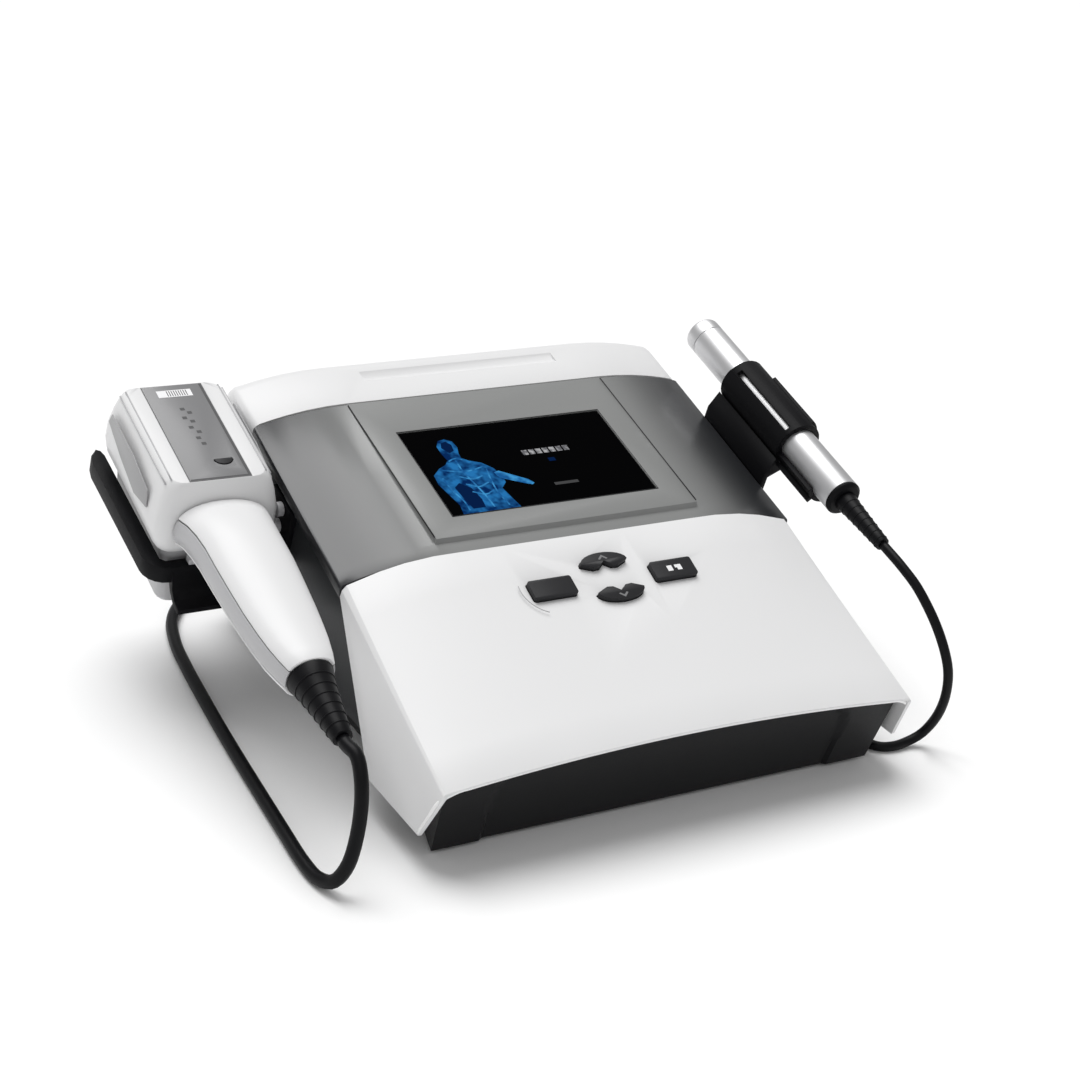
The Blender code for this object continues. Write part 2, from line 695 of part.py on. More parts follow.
def build_head(frame):
    """The boxy head: an upper shell and a lower shell that hangs through the cradle."""
    upper = open_box("head_upper_shell", "white_shell", frame,
                     [head_ring(*station) for station in HEAD_UPPER], 0.0, 2.4)
    boolean(upper, box("label_seat", None, frame, (41.0, 97.0, 1.6), (0, 44.4, 0)))
    lower = open_box("head_lower_shell", "light_grey", frame,
                     [head_ring(*station, 8.0) for station in HEAD_LOWER], HEAD_BOTTOM, 2.4)
    boolean(lower, cylinder("face_hole", None, frame, FACE_RADIUS + GAP, 20,
                            (0, HEAD_MIDDLE_Y, HEAD_BOTTOM), sides=32))


def build_head_details(frame):
    radius = FACE_RADIUS
    profile = [(0.0, 2.4), (radius - 2, 2.4), (radius, 1.6), (radius, -3.2),
               (radius - 1.4, -4.6), (0.0, -4.6)]
    turned("treatment_face", "aluminium", frame, profile, (0, HEAD_MIDDLE_Y, HEAD_BOTTOM),
           steps=32)
    cylinder("piezo_disc", "ceramic", frame, 19.0, 2.2,
             (0, HEAD_MIDDLE_Y, HEAD_BOTTOM + 2.4 + GAP + 1.1), sides=28)
    box("applicator_board", "board_green", frame, (48, 78, 1.6), (0, 44.5, -60))
    label = box("head_label", "label_grey", frame, (40.4, 96.4, 0.8), (0, 44.4, -0.1))
    key_at = (7.6, 12.0)
    boolean(label, box("key_gap", None, frame, (13.4, 9.6, 30), (*key_at, 0)))
    boolean(bpy.data.objects["head_upper_shell"],
            box("key_well", None, frame, (13.4, 9.6, 16), (*key_at, 0)))
    half_moon = [(6.0 * math.cos(a), -5.4 * abs(math.sin(a)) + 2.6)
                 for a in (math.radians(15 * k) for k in range(13))]
    outline("start_key", "key_rubber", frame, [half_moon], 3.6, (*key_at, -0.9))
    leaf = [(8, -27), (10, -15), (40, -10.5), (82, -10.5), (86, -19), (60, -27), (30, -33)]
    for side, name in ((-1, "head_inlay_left"), (1, "head_inlay_right")):
        outline(name, "light_grey", frame, [leaf], 0.8, (side * (40.3 + GAP + 0.4), 0, 0),
                (math.pi / 2, 0, math.pi / 2))


# Stations of the handle: distance along it, half width, half height, height of its axis
HANDLE = ((-12.0, 32.0, 18.0, -29.0), (-28.0, 29.6, 19.0, -25.0), (-45.0, 28.0, 19.3, -23.0),
          (-72.0, 27.6, 18.5, -22.0), (-106.0, 25.6, 17.5, -22.0), (-138.0, 22.2, 16.5, -21.4),
          (-154.0, 18.6, 15.8, -20.4), (HANDLE_END, 16.0, 15.0, HANDLE_AXIS_Z))


def handle_section(y, start, end, inset=0.0, count=13):
    """Points around the handle at a distance y along it, between two angles."""
    for first, second in zip(HANDLE, HANDLE[1:]):
        if second[0] <= y <= first[0]:
            t = (y - first[0]) / (second[0] - first[0])
            half_x, half_z, centre = (lerp(a, b, t) for a, b in zip(first[1:], second[1:]))
    ring = super_ring(half_x - inset, half_z - inset, centre, y, count, 2.3, start, end)
    if y < HANDLE[0][0]:
        return ring
    return [(x, head_front(z) - 6 * GAP, z) for x, _, z in ring]


def build_handle(frame):
    """Two handle shells with a grey band let in along each side."""
    stations = (HANDLE[0][0], -24, -36, -50, -70, -90, -110, -128, -142, -154, HANDLE_END)
    upper = [handle_section(y, 27, 153) for y in stations]
    shell("handle_upper_shell", "white_shell", frame, upper, 2.4, (0, -90, 300))
    lower = [handle_section(y, 202, 338) for y in stations]
    shell("handle_lower_shell", "white_shell", frame, lower, 2.4, (0, -90, -300))
    for name, start, end in (("handle_band_left", 156, 199), ("handle_band_right", 341, 384)):
        band = [handle_section(y, start, end, 0.6, 6) for y in stations]
        outward = (-300, -90, -30) if start < 270 else (300, -90, -30)
        shell(name, "light_grey", frame, band, 1.4, outward)


def relief_profile(length, wide, narrow, steps):
    """Half section of a solid strain relief that narrows from its wide end at the origin."""
    points = [(wide, 0.0)]
    for k in range(1, steps + 1):
        t = k / (steps + 1)
        points.append((lerp(wide, narrow, t ** 0.7), -length * t))
    points += [(narrow, -length), (0.0, -length), (0.0, 0.0)]
    return points


def build_applicator_relief(frame):
    at = (0, HANDLE_END - GAP, HANDLE_AXIS_Z)
    profile = relief_profile(RELIEF_LENGTH, 14.6, 6.2, 5)
    turned("applicator_strain_relief", "lead_rubber", frame, profile, at, (-math.pi / 2, 0, 0),
           24)


# ---------------------------------------------------------------- cradle

def build_cradle(frame):
    """The fork around the head's lower shell, its lip, and its plate on the console's side."""
    left, right, front, rear = -44.0, 45.0, -16.5, 106.0
    slot_left, slot_right, slot_front = -33.6, 33.6, -9.0
    corner = [(left + 15 - 15 * math.sin(a), front + 15 - 15 * math.cos(a))
              for a in (math.radians(18 * k) for k in range(6))]
    loop = corner[::-1] + [
        (right - 4, front), (right, front + 4), (right, rear - 46), (right - 4, rear - 40),
        (slot_right, rear - 40), (slot_right, slot_front + 3), (slot_right - 3, slot_front),
        (slot_left + 3, slot_front), (slot_left, slot_front + 3), (slot_left, rear - 7),
        (slot_left - 1.2, rear - 2), (slot_left - 4, rear), (left + 5, rear - 2),
        (left + 1.5, rear - 6), (left, rear - 14)]
    fork = to_mesh(outline("cradle_fork", "holder_black", frame, [loop], 12.0, (0, 0, -63.2)))
    lip = [(front + 0.5, -58.6), (front + 5.0, -58.6), (front + 5.0, -70.0),
           (front, -77.0), (front - 7.0, -81.5), (front - 16.0, -82.5),
           (front - 16.0, -79.0), (front - 8.0, -77.5), (front - 3.0, -73.0)]
    tongue = to_mesh(outline("lip_body", None, frame, [lip], 50.0, (-3.0, 0, 0),
                             (math.pi / 2, 0, math.pi / 2)))
    side_x = APPLICATOR_AT[0] + 160.6 + GAP
    plate = box("plate_body", None, frame, (3.6, 32.0, 40.0), (-side_x - 1.8, 2.0, -49.0))
    arm = box("arm_body", None, frame, (14.0, 30.0, 7.6), (-side_x - 7.0, 2.0, -63.0))
    for piece in (tongue, plate, arm):
        boolean(fork, piece, "UNION")
    for name, z in (("cradle_screw_upper", -35.0), ("cradle_screw_lower", -48.5)):
        cylinder(name, "light_grey", frame, 4.8, 4.0, (-side_x - 3.6 - GAP - 2.0, 0.5, z),
                 (0, math.pi / 2, 0), sides=18)
    box("cradle_pad", "light_grey", frame, (16, 6.0, 4.0), (-10, -13.2, -57.2 + GAP + 2.0))


# ---------------------------------------------------------------- probe and clip

def clip_ring(inner, outer, slot_half, sides=26):
    """A ring outline open at the slot."""
    first = CLIP_SLOT_DEG + math.degrees(slot_half / inner)
    last = CLIP_SLOT_DEG + 360 - math.degrees(slot_half / inner)
    angles = [math.radians(lerp(first, last, k / sides)) for k in range(sides + 1)]
    loop = [(outer * math.cos(a), outer * math.sin(a)) for a in angles]
    loop += [(inner * math.cos(a), inner * math.sin(a)) for a in reversed(angles)]
    return loop


def build_probe_holder(frame):
    """A springy clip around the barrel and the bracket that carries it on the console."""
    turn = (math.pi / 2, 0, 0)
    middle = (CLIP_FRONT + CLIP_REAR) / 2
    length = CLIP_REAR - CLIP_FRONT
    clip = to_mesh(outline("probe_clip", "holder_black", frame,
                           [clip_ring(CLIP_INNER, CLIP_OUTER, 2.4)], length,
                           (0, middle, 0), turn))
    wing = [((CLIP_OUTER - 1.2) * math.cos(a), (CLIP_OUTER - 1.2) * math.sin(a))
            for a in (math.radians(-35 + 10 * k) for k in range(10))]
    wing += [((CLIP_OUTER + 2.0) * math.cos(a), (CLIP_OUTER + 2.0) * math.sin(a))
             for a in (math.radians(50 - 10 * k) for k in range(9))]
    bulge = to_mesh(outline("clip_wing", None, frame, [wing], 52.0, (0, middle - 6, 0), turn))
    boolean(clip, bulge, "UNION")

    leg = [(-22.5, -62.0), (-18.5, -62.0), (-18.5, -24.0), (-7.5, -17.6), (-12.6, -12.8),
           (-16.8, -8.0), (-22.5, -20.0)]
    foot = [(-28.9, -62.0), (-22.0, -62.0), (-22.0, -50.0), (-28.9, -50.0)]
    bracket = to_mesh(outline("probe_bracket", "holder_black", frame, [leg], 78.0,
                              (0, -2.0, 0), turn))
    spacer = to_mesh(outline("bracket_foot", None, frame, [foot], 60.0, (0, -2.0, 0), turn))
    boolean(bracket, spacer, "UNION")
    tongue = box("bracket_tongue", None, frame, (7.0, 46.0, 2.6), (-11.4, -57.0, -12.2),
                 (0, math.radians(-44), 0))
    boolean(bracket, tongue, "UNION")
    boolean(bracket, cylinder("barrel_room", None, frame, CLIP_OUTER + GAP, 88,
                              (0, 3.0, 0), (math.pi / 2, 0, 0), sides=52))
    boolean(bracket, cylinder("barrel_way", None, frame, CLIP_INNER + GAP, 160,
                              (0, -60.0, 0), (math.pi / 2, 0, 0), sides=52))


def build_probe(frame):
    turn = (-math.pi / 2, 0, 0)
    tube_rear = PROBE_HALF - 12.0
    tube_front = -PROBE_HALF
    wall = 1.6
    barrel = [(PROBE_RADIUS - wall, tube_rear), (PROBE_RADIUS, tube_rear),
              (PROBE_RADIUS, tube_front), (PROBE_RADIUS - wall, tube_front)]
    turned("probe_barrel", "aluminium", frame, barrel, (0, 0, 0), turn, 36)
    low = tube_rear + GAP
    tip = [(0.0, PROBE_HALF), (10.6, PROBE_HALF), (12.3, PROBE_HALF - 0.8),
           (PROBE_RADIUS, PROBE_HALF - 2.6), (PROBE_RADIUS, low), (11.0, low),
           (11.0, PROBE_HALF - 3.0), (0.0, PROBE_HALF - 3.0)]
    turned("probe_face", "aluminium", frame, tip, (0, 0, 0), turn, 36)
    cylinder("probe_piezo", "ceramic", frame, 9.5, 2.0, (0, PROBE_HALF - 3.0 - GAP - 1.0, 0), turn,
             24)
    cap = [(PROBE_RADIUS, tube_front - GAP), (PROBE_RADIUS, tube_front - 2.0),
           (11.0, tube_front - 4.0), (0.0, tube_front - 4.0), (0.0, tube_front - GAP)]
    turned("probe_end_cap", "holder_black", frame, cap, (0, 0, 0), turn, 30)
    relief = relief_profile(PROBE_RELIEF_LENGTH - 4.0, 7.6, 4.8, 5)
    turned("probe_strain_relief", "lead_rubber", frame, relief,
           (0, tube_front - 4.0 - GAP, 0), turn, 22)


# ---------------------------------------------------------------- leads

def applicator_exit():
    """Where the applicator's lead leaves its strain relief, in the console's frame."""
    tilt = Matrix.Rotation(SLOPE, 3, "X") @ Matrix.Rotation(APPLICATOR_TURN, 3, "Z")
    local = Vector((0, HANDLE_END - 2 * GAP - RELIEF_LENGTH, HANDLE_AXIS_Z))
    return Vector(APPLICATOR_AT) + tilt @ local


def probe_exit():
    tilt = Matrix.Rotation(SLOPE, 3, "X")
    local = Vector((0, -PROBE_HALF - 2 * GAP - PROBE_RELIEF_LENGTH, 0))
    return Vector(PROBE_AT) + tilt @ local


APPLICATOR_ROUTE = [
    (-215.5, -144.0, 81.0), (-216.0, -152.5, 70.0), (-217.5, -157.5, 55.0),
    (-220.5, -160.5, 38.0), (-225.0, -161.5, 22.0), (-230.5, -156.5, 9.5),
    (-234.5, -143.0, 4.6), (-235.0, -122.0, 4.3), (-233.0, -96.0, 4.3), (-229.5, -53.0, 4.3),
    (-226.0, -11.0, 4.3), (-222.0, 32.0, 4.3), (-217.0, 78.0, 4.3), (-213.0, 111.0, 4.3),
    (-207.5, 145.0, 4.3), (-197.0, 178.0, 4.3), (-178.0, 203.0, 4.3), (-148.0, 214.5, 4.3),
    (-115.0, 214.0, 4.3), (-82.0, 208.5, 4.3), (-45.0, 206.0, 4.3)]
PROBE_ROUTE = [
    (191.5, -108.0, 120.5), (195.0, -124.0, 110.5), (200.5, -141.0, 91.0),
    (206.0, -151.0, 68.5), (209.5, -151.5, 48.0), (211.0, -146.5, 28.0),
    (208.5, -139.0, 11.0), (199.0, -136.5, 4.4), (186.0, -137.0, 3.3),
    (175.5, -133.0, 3.3), (169.5, -120.0, 3.3), (168.0, -100.0, 3.3), (169.5, -60.0, 3.3),
    (175.0, 0.0, 3.3), (181.0, 60.0, 3.3), (185.0, 120.0, 3.3), (181.0, 165.0, 3.3),
    (165.0, 195.0, 3.3), (138.0, 208.5, 3.3), (105.0, 211.0, 3.3), (66.0, 210.0, 3.3)]


def build_lead(frame, names, diameter, exit_at, route, coil_at, coil_r, plug_x, side):
    """A lead from an applicator along the table to its coil, and on to its plug."""
    core = coil_r
    thick = diameter * (0.5 + COIL_SPREAD)
    spread = diameter * COIL_SPREAD
    cord, coil, tail, plug = names
    clear = thick + diameter / 2 + GAP
    along = Vector((0, -math.cos(SLOPE), -math.sin(SLOPE)))
    exit_at += along * GAP
    run = [exit_at] + smooth_route([exit_at + along * 5.0] + route, 2.4 * diameter)
    run = [p for p in run if ring_distance(p, coil_at, core, thick) > clear]
    lead_tube(cord, frame, run, diameter)

    ring = [(core + thick * math.cos(a), thick + thick * math.sin(a))
            for a in (math.radians(90 - 30 * k) for k in range(12))]
    turned(coil, "lead_rubber", frame, ring, (*coil_at, 0), (0, 0, 0), 36)

    leave = (coil_at[0], coil_at[1] + core + spread * 0.7, thick + spread * 0.7)
    plug_end = REAR_WALL_Y + 6.0 + GAP + 44.0
    tail_route = [leave, (coil_at[0] - side * 24, leave[1] - 1.5, leave[2] + 5),
                  (lerp(coil_at[0], plug_x, 0.62), leave[1] - 6, leave[2] + 16),
                  (lerp(coil_at[0], plug_x, 0.92), leave[1] - 24, SOCKET_Z - 14),
                  (plug_x, plug_end + 14, SOCKET_Z - 2.0), (plug_x, plug_end + 5, SOCKET_Z)]
    run = smooth_route(tail_route, 2.4 * diameter) + [Vector((plug_x, plug_end + GAP, SOCKET_Z))]
    run = [p for p in run if ring_distance(p, coil_at, core, thick) > clear]
    lead_tube(tail, frame, run, diameter)

    start = REAR_WALL_Y + 6.0 + GAP
    body = [(5.8, -14.0), (9.6, 0.0), (9.6, 14.0), (8.4, 16.0), (8.4, 24.0),
            (diameter / 2 + 1.4, 27.0), (diameter / 2 + 0.9, 44.0)]
    outer = list(reversed(body[1:]))
    profile = outer + [(5.8, 0.0), (5.8, -14.0), (0.0, -14.0), (0.0, 44.0)]
    turned(plug, "holder_black", frame, profile, (plug_x, start, SOCKET_Z),
           (-math.pi / 2, 0, 0), 24)


# ---------------------------------------------------------------- assembly

clear_scene()
PARTS = make_collection("ultrasound_therapy_device")
CUTTERS = make_collection("cutters")

console = frame_empty("console_frame", (CONSOLE_X, CONSOLE_Y, 0))
panel_frame = frame_empty("panel_frame", (0, PANEL_REF[0], PANEL_REF[1]), SLOPE, console)
hood_frame = frame_empty("hood_frame", (0, HOOD_FRONT_Y + 78.0, HOOD_FRONT_Z + 33.9), HOOD_SLOPE,
                         console)
cradle_frame = frame_empty("cradle_frame", APPLICATOR_AT, SLOPE, console)
head_frame = frame_empty("applicator_frame", APPLICATOR_AT, SLOPE, console, APPLICATOR_TURN)
probe_frame = frame_empty("probe_frame", PROBE_AT, SLOPE, console)

front_hood = build_front_hood(console)
build_display_bezel(console, panel_frame)
build_screen(panel_frame)
build_rear_shell(console)
build_side_covers(console)
build_base_tray(console)
build_front_base(console)
build_feet(console)
for hole in build_keys(hood_frame):
    boolean(front_hood, hole)
build_electronics(console)
build_rear_panel(console)
build_head(head_frame)
build_head_details(head_frame)
build_handle(head_frame)
build_applicator_relief(head_frame)
build_cradle(cradle_frame)
build_probe_holder(probe_frame)
build_probe(probe_frame)
build_lead(console, ("applicator_lead", "applicator_lead_coil", "applicator_lead_tail",
                     "applicator_plug"), LEAD_D, applicator_exit(), APPLICATOR_ROUTE,
           LEAD_COIL_AT, LEAD_COIL_R, SOCKET_X[0], 1)
build_lead(console, ("probe_lead", "probe_lead_coil", "probe_lead_tail", "probe_plug"),
           PROBE_LEAD_D, probe_exit(), PROBE_ROUTE, PROBE_COIL_AT, PROBE_COIL_R, SOCKET_X[1], -1)
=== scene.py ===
"""Looks of the ultrasound therapy device: finishes, details, screen picture and leads.

Console sizes are in millimetres in the console's own frame, which stands ORIGIN away from the
row frame; world() turns them into metres in the row frame.
"""

import math

import bmesh
import bpy
from mathutils import Matrix, Vector

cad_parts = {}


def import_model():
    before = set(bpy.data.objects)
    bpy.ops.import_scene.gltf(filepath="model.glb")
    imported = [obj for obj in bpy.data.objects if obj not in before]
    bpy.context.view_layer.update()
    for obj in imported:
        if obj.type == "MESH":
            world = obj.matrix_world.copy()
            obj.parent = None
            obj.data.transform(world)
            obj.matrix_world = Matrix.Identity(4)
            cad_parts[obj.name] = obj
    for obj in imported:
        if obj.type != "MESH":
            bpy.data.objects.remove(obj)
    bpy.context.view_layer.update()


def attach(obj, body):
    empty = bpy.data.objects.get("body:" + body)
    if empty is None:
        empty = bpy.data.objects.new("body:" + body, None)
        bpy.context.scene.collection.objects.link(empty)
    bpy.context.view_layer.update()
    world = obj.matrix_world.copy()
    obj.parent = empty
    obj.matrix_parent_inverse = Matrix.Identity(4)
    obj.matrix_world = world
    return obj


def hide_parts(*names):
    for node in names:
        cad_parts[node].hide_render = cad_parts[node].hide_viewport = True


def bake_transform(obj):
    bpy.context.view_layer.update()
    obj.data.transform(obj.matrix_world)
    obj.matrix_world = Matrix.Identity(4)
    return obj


MM = 0.001
ORIGIN = Vector((23.9, -14.5, 0.0))
SLOPE = math.radians(15.3)
HOOD_SLOPE = math.radians(23.5)
APPLICATOR_TURN = math.radians(-1.2)

LEAD_D = 8.5
PROBE_LEAD_D = 6.5
# A coil's strands lie this many lead diameters from the bundle's middle
COIL_SPREAD = 0.72
COIL_TURNS = 2.5
POINTS_PER_TURN = 24
ROUTE_SPACING = 3.2
SOCKET_Z = 66.0
PLUG_END = 234.5

APPLICATOR_AT = Vector((-212.8, 72.0, 160.0))
PROBE_AT = Vector((190.0, 53.9, 166.2))
HANDLE_END = -163.0
HANDLE_AXIS_Z = -20.0
RELIEF_LENGTH = 50.0
PROBE_HALF = 95.4
GAP = 0.3

# The hood's front edge: it is highest in the middle and falls by the crown to each side
HOOD_FRONT_Y = -163.5
HOOD_HALF = 169.0
HOOD_CROWN = 9.4

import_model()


# ---------------------------------------------------------------- frames

def placed(origin, tilt=0.0, spin=0.0):
    """Turns millimetres in a tilted frame of the console into metres in the row frame."""
    turn = Matrix.Rotation(tilt, 4, "X") @ Matrix.Rotation(spin, 4, "Z")
    return Matrix.Scale(MM, 4) @ Matrix.Translation(ORIGIN + Vector(origin)) @ turn


CONSOLE = placed((0, 0, 0))
PANEL = placed((0, 57.5, 150.0), SLOPE)
HOOD = placed((0, -85.5, 100.2), HOOD_SLOPE)
APPLICATOR = placed(APPLICATOR_AT, SLOPE, APPLICATOR_TURN)
PROBE = placed(PROBE_AT, SLOPE)


def world(point):
    """A point in the console's millimetres, in the row frame's metres."""
    return CONSOLE @ Vector(point)


# ---------------------------------------------------------------- materials

def shader(name, colour, roughness, metallic=0.0, coat=0.0, shine=0.5):
    """A Principled material and its shader node."""
    material = bpy.data.materials.new(name)
    material.use_nodes = True
    node = material.node_tree.nodes["Principled BSDF"]
    node.inputs["Base Color"].default_value = (*colour, 1.0)
    node.inputs["Roughness"].default_value = roughness
    node.inputs["Metallic"].default_value = metallic
    node.inputs["Coat Weight"].default_value = coat
    node.inputs["Specular IOR Level"].default_value = shine
    node.inputs["Coat Roughness"].default_value = 0.15
    return material, node


def grain(material, node, scale, strength, distance=0.0002):
    """Adds a moulded texture to a material, and returns its noise node."""
    nodes = material.node_tree.nodes
    links = material.node_tree.links
    coords = nodes.new("ShaderNodeTexCoord")
    noise = nodes.new("ShaderNodeTexNoise")
    noise.inputs["Scale"].default_value = scale
    noise.inputs["Detail"].default_value = 4.0
    bump = nodes.new("ShaderNodeBump")
    bump.inputs["Strength"].default_value = strength
    bump.inputs["Distance"].default_value = distance
    links.new(coords.outputs["Object"], noise.inputs["Vector"])
    links.new(noise.outputs["Fac"], bump.inputs["Height"])
    links.new(bump.outputs["Normal"], node.inputs["Normal"])
    return noise


def varied(material, node, noise, low, high):
    """Lets a material's roughness wander between two values with its noise."""
    nodes = material.node_tree.nodes
    links = material.node_tree.links
    spread = nodes.new("ShaderNodeMapRange")
    spread.inputs["To Min"].default_value = low
    spread.inputs["To Max"].default_value = high
    links.new(noise.outputs["Fac"], spread.inputs["Value"])
    links.new(spread.outputs["Result"], node.inputs["Roughness"])


def plastic(name, colour, roughness, scale=900.0, strength=0.12, coat=0.0, shine=0.5):
    """Moulded plastic or rubber, with a fine grain and a slightly uneven gloss."""
    material, node = shader(name, colour, roughness, coat=coat, shine=shine)
    noise = grain(material, node, scale, strength)
    varied(material, node, noise, roughness * 0.85, roughness * 1.15)
    return material


def painted_reflection_across(name, middle, side, start, end, roughness, coat):
    """A glossy plastic with a painted reflection: its colour falls off from a bright middle to
    darker sides of the console.
    """
    material, node = shader(name, middle, roughness, coat=coat)
    nodes = material.node_tree.nodes
    links = material.node_tree.links
    coords = nodes.new("ShaderNodeTexCoord")
    split = nodes.new("ShaderNodeSeparateXYZ")
    shift = nodes.new("ShaderNodeMath")
    shift.operation = "SUBTRACT"
    shift.inputs[1].default_value = ORIGIN.x * MM
    size = nodes.new("ShaderNodeMath")
    size.operation = "ABSOLUTE"
    ramp = nodes.new("ShaderNodeMapRange")
    ramp.interpolation_type = "SMOOTHSTEP"
    ramp.inputs["From Min"].default_value = start * MM
    ramp.inputs["From Max"].default_value = end * MM
    mix = nodes.new("ShaderNodeMix")
    mix.data_type = "RGBA"
    mix.inputs["A"].default_value = (*middle, 1.0)
    mix.inputs["B"].default_value = (*side, 1.0)
    links.new(coords.outputs["Object"], split.inputs["Vector"])
    links.new(split.outputs["X"], shift.inputs[0])
    links.new(shift.outputs["Value"], size.inputs[0])
    links.new(size.outputs["Value"], ramp.inputs["Value"])
    links.new(ramp.outputs["Result"], mix.inputs["Factor"])
    links.new(mix.outputs["Result"], node.inputs["Base Color"])
    grain(material, node, 700.0, 0.05)
    return material


def brushed(name, colour, roughness):
    """Satin metal with a fine grain."""
    material, node = shader(name, colour, roughness, metallic=1.0)
    noise = grain(material, node, 1400.0, 0.1, 0.0001)
    varied(material, node, noise, roughness * 0.8, roughness * 1.25)
    return material


# The span of noise over which a mottled glow turns from dark to bright
MOTTLE = (0.38, 0.64)


def glowing(name, colour, dark=None, scale=60.0):
    """A lit part of the screen; with a dark colour it is mottled between the two."""
    material, node = shader(name, (0.001, 0.001, 0.001), 0.5, shine=0.0)
    node.inputs["Emission Color"].default_value = (*colour, 1.0)
    node.inputs["Emission Strength"].default_value = 1.0
    if dark:
        nodes = material.node_tree.nodes
        links = material.node_tree.links
        coords = nodes.new("ShaderNodeTexCoord")
        noise = nodes.new("ShaderNodeTexNoise")
        noise.inputs["Scale"].default_value = scale
        spread = nodes.new("ShaderNodeMapRange")
        spread.inputs["From Min"].default_value, spread.inputs["From Max"].default_value = MOTTLE
        mix = nodes.new("ShaderNodeMix")
        mix.data_type = "RGBA"
        mix.inputs["A"].default_value = (*dark, 1.0)
        mix.inputs["B"].default_value = (*colour, 1.0)
        links.new(coords.outputs["Object"], noise.inputs["Vector"])
        links.new(noise.outputs["Fac"], spread.inputs["Value"])
        links.new(spread.outputs["Result"], mix.inputs["Factor"])
        links.new(mix.outputs["Result"], node.inputs["Emission Color"])
    return material


WHITE = plastic("white_shell", (0.77, 0.77, 0.774), 0.36, shine=0.35)
# The display panel's colour carries a painted reflection, bright in the middle and dark towards
# both sides
PANEL_GREY = painted_reflection_across("panel_grey", (0.232, 0.236, 0.233), (0.020, 0.021, 0.023), 84.0, 156.0,
                    0.30, 0.12)
BLACK_BASE = plastic("black_base", (0.006, 0.006, 0.007), 0.42, 700.0, 0.2, shine=0.2)
SIDE_GREY = plastic("side_grey", (0.022, 0.023, 0.025), 0.42, 700.0, 0.15, shine=0.25)
SCREEN_BLACK = plastic("screen_black", (0.0008, 0.0008, 0.001), 0.22, 300.0, 0.01, shine=0.006)
KEY_RUBBER = plastic("key_rubber", (0.016, 0.016, 0.018), 0.46, 1200.0, 0.25, shine=0.25)
HOLDER_BLACK = plastic("holder_black", (0.005, 0.005, 0.006), 0.5, 900.0, 0.25, shine=0.09)
LABEL_GREY = plastic("label_grey", (0.19, 0.19, 0.195), 0.36, 800.0, 0.08, 0.1)
LIGHT_GREY = plastic("light_grey", (0.46, 0.46, 0.47), 0.38)
INLAY_GREY = plastic("inlay_grey", (0.33, 0.33, 0.335), 0.38)
# A brighter white than the shell, used only for the painted highlight along the hood's edge
PAINTED_HIGHLIGHT_WHITE = plastic("painted_highlight_white", (0.93, 0.93, 0.93), 0.3)
ALUMINIUM = brushed("aluminium", (0.70, 0.70, 0.71), 0.44)
STEEL = brushed("steel", (0.55, 0.56, 0.57), 0.34)
LEAD_RUBBER = plastic("lead_rubber", (0.004, 0.004, 0.005), 0.42, 1500.0, 0.2, shine=0.14)
BOARD_GREEN = plastic("board_green", (0.02, 0.12, 0.05), 0.45)
CERAMIC = plastic("ceramic", (0.70, 0.66, 0.58), 0.5)
FOOT_RUBBER = plastic("foot_rubber", (0.015, 0.015, 0.015), 0.7, 500.0, 0.4)
DARK_LINE = plastic("dark_line", (0.03, 0.03, 0.031), 0.5, shine=0.2)
MARK_WHITE = plastic("mark_white", (0.85, 0.85, 0.86), 0.5)
MARK_DARK = plastic("mark_dark", (0.05, 0.05, 0.052), 0.5)
GLOW_BLUE = glowing("glow_blue", (0.018, 0.17, 0.44), (0.001, 0.02, 0.10), 110.0)
GLOW_CYAN = glowing("glow_cyan", (0.05, 0.30, 0.62), (0.01, 0.10, 0.30), 150.0)
GLOW_DEEP = glowing("glow_deep", (0.001, 0.012, 0.06))
GLOW_PALE = glowing("glow_pale", (0.42, 0.42, 0.43), (0.12, 0.12, 0.13), 300.0)
GLOW_DIM = glowing("glow_dim", (0.06, 0.06, 0.062))

SLOTS = {
    "white_shell": WHITE, "black_base": BLACK_BASE, "panel_grey": PANEL_GREY,
    "side_grey": SIDE_GREY, "screen_black": SCREEN_BLACK, "key_rubber": KEY_RUBBER,
    "holder_black": HOLDER_BLACK, "label_grey": LABEL_GREY, "light_grey": LIGHT_GREY,
    "aluminium": ALUMINIUM, "steel": STEEL, "lead_rubber": LEAD_RUBBER,
    "board_green": BOARD_GREEN, "ceramic": CERAMIC, "foot_rubber": FOOT_RUBBER}

NODE_SLOTS = {
    "white_shell": ("front_hood", "rear_shell", "head_upper_shell", "handle_upper_shell",
                    "handle_lower_shell"),
    "panel_grey": ("display_bezel",),
    "black_base": ("base_tray", "front_base"),
    "side_grey": ("side_cover_left", "side_cover_right", "rear_panel"),
    "screen_black": ("screen_glass",),
    "key_rubber": ("key_menu", "key_start", "key_up", "key_down", "start_key", "power_switch"),
    "holder_black": ("cradle_fork", "probe_clip", "probe_bracket", "probe_end_cap",
                     "mains_inlet", "applicator_plug", "probe_plug"),
    "label_grey": ("head_label",),
    "light_grey": ("head_lower_shell", "head_inlay_left", "head_inlay_right",
                   "handle_band_left", "handle_band_right", "cradle_screw_upper",
                   "cradle_screw_lower", "cradle_pad"),
    "aluminium": ("treatment_face", "heatsink", "probe_barrel", "probe_face"),
    "steel": ("lcd_module", "power_supply", "applicator_socket", "probe_socket"),
    "lead_rubber": ("applicator_strain_relief", "probe_strain_relief"),
    "board_green": ("key_board", "main_board", "generator_board", "applicator_board"),
    "ceramic": ("piezo_disc", "probe_piezo"),
    "foot_rubber": ("foot_front_left", "foot_front_right", "foot_rear_left",
                    "foot_rear_right")}

OWN_FINISH = {"head_inlay_left": INLAY_GREY, "head_inlay_right": INLAY_GREY}


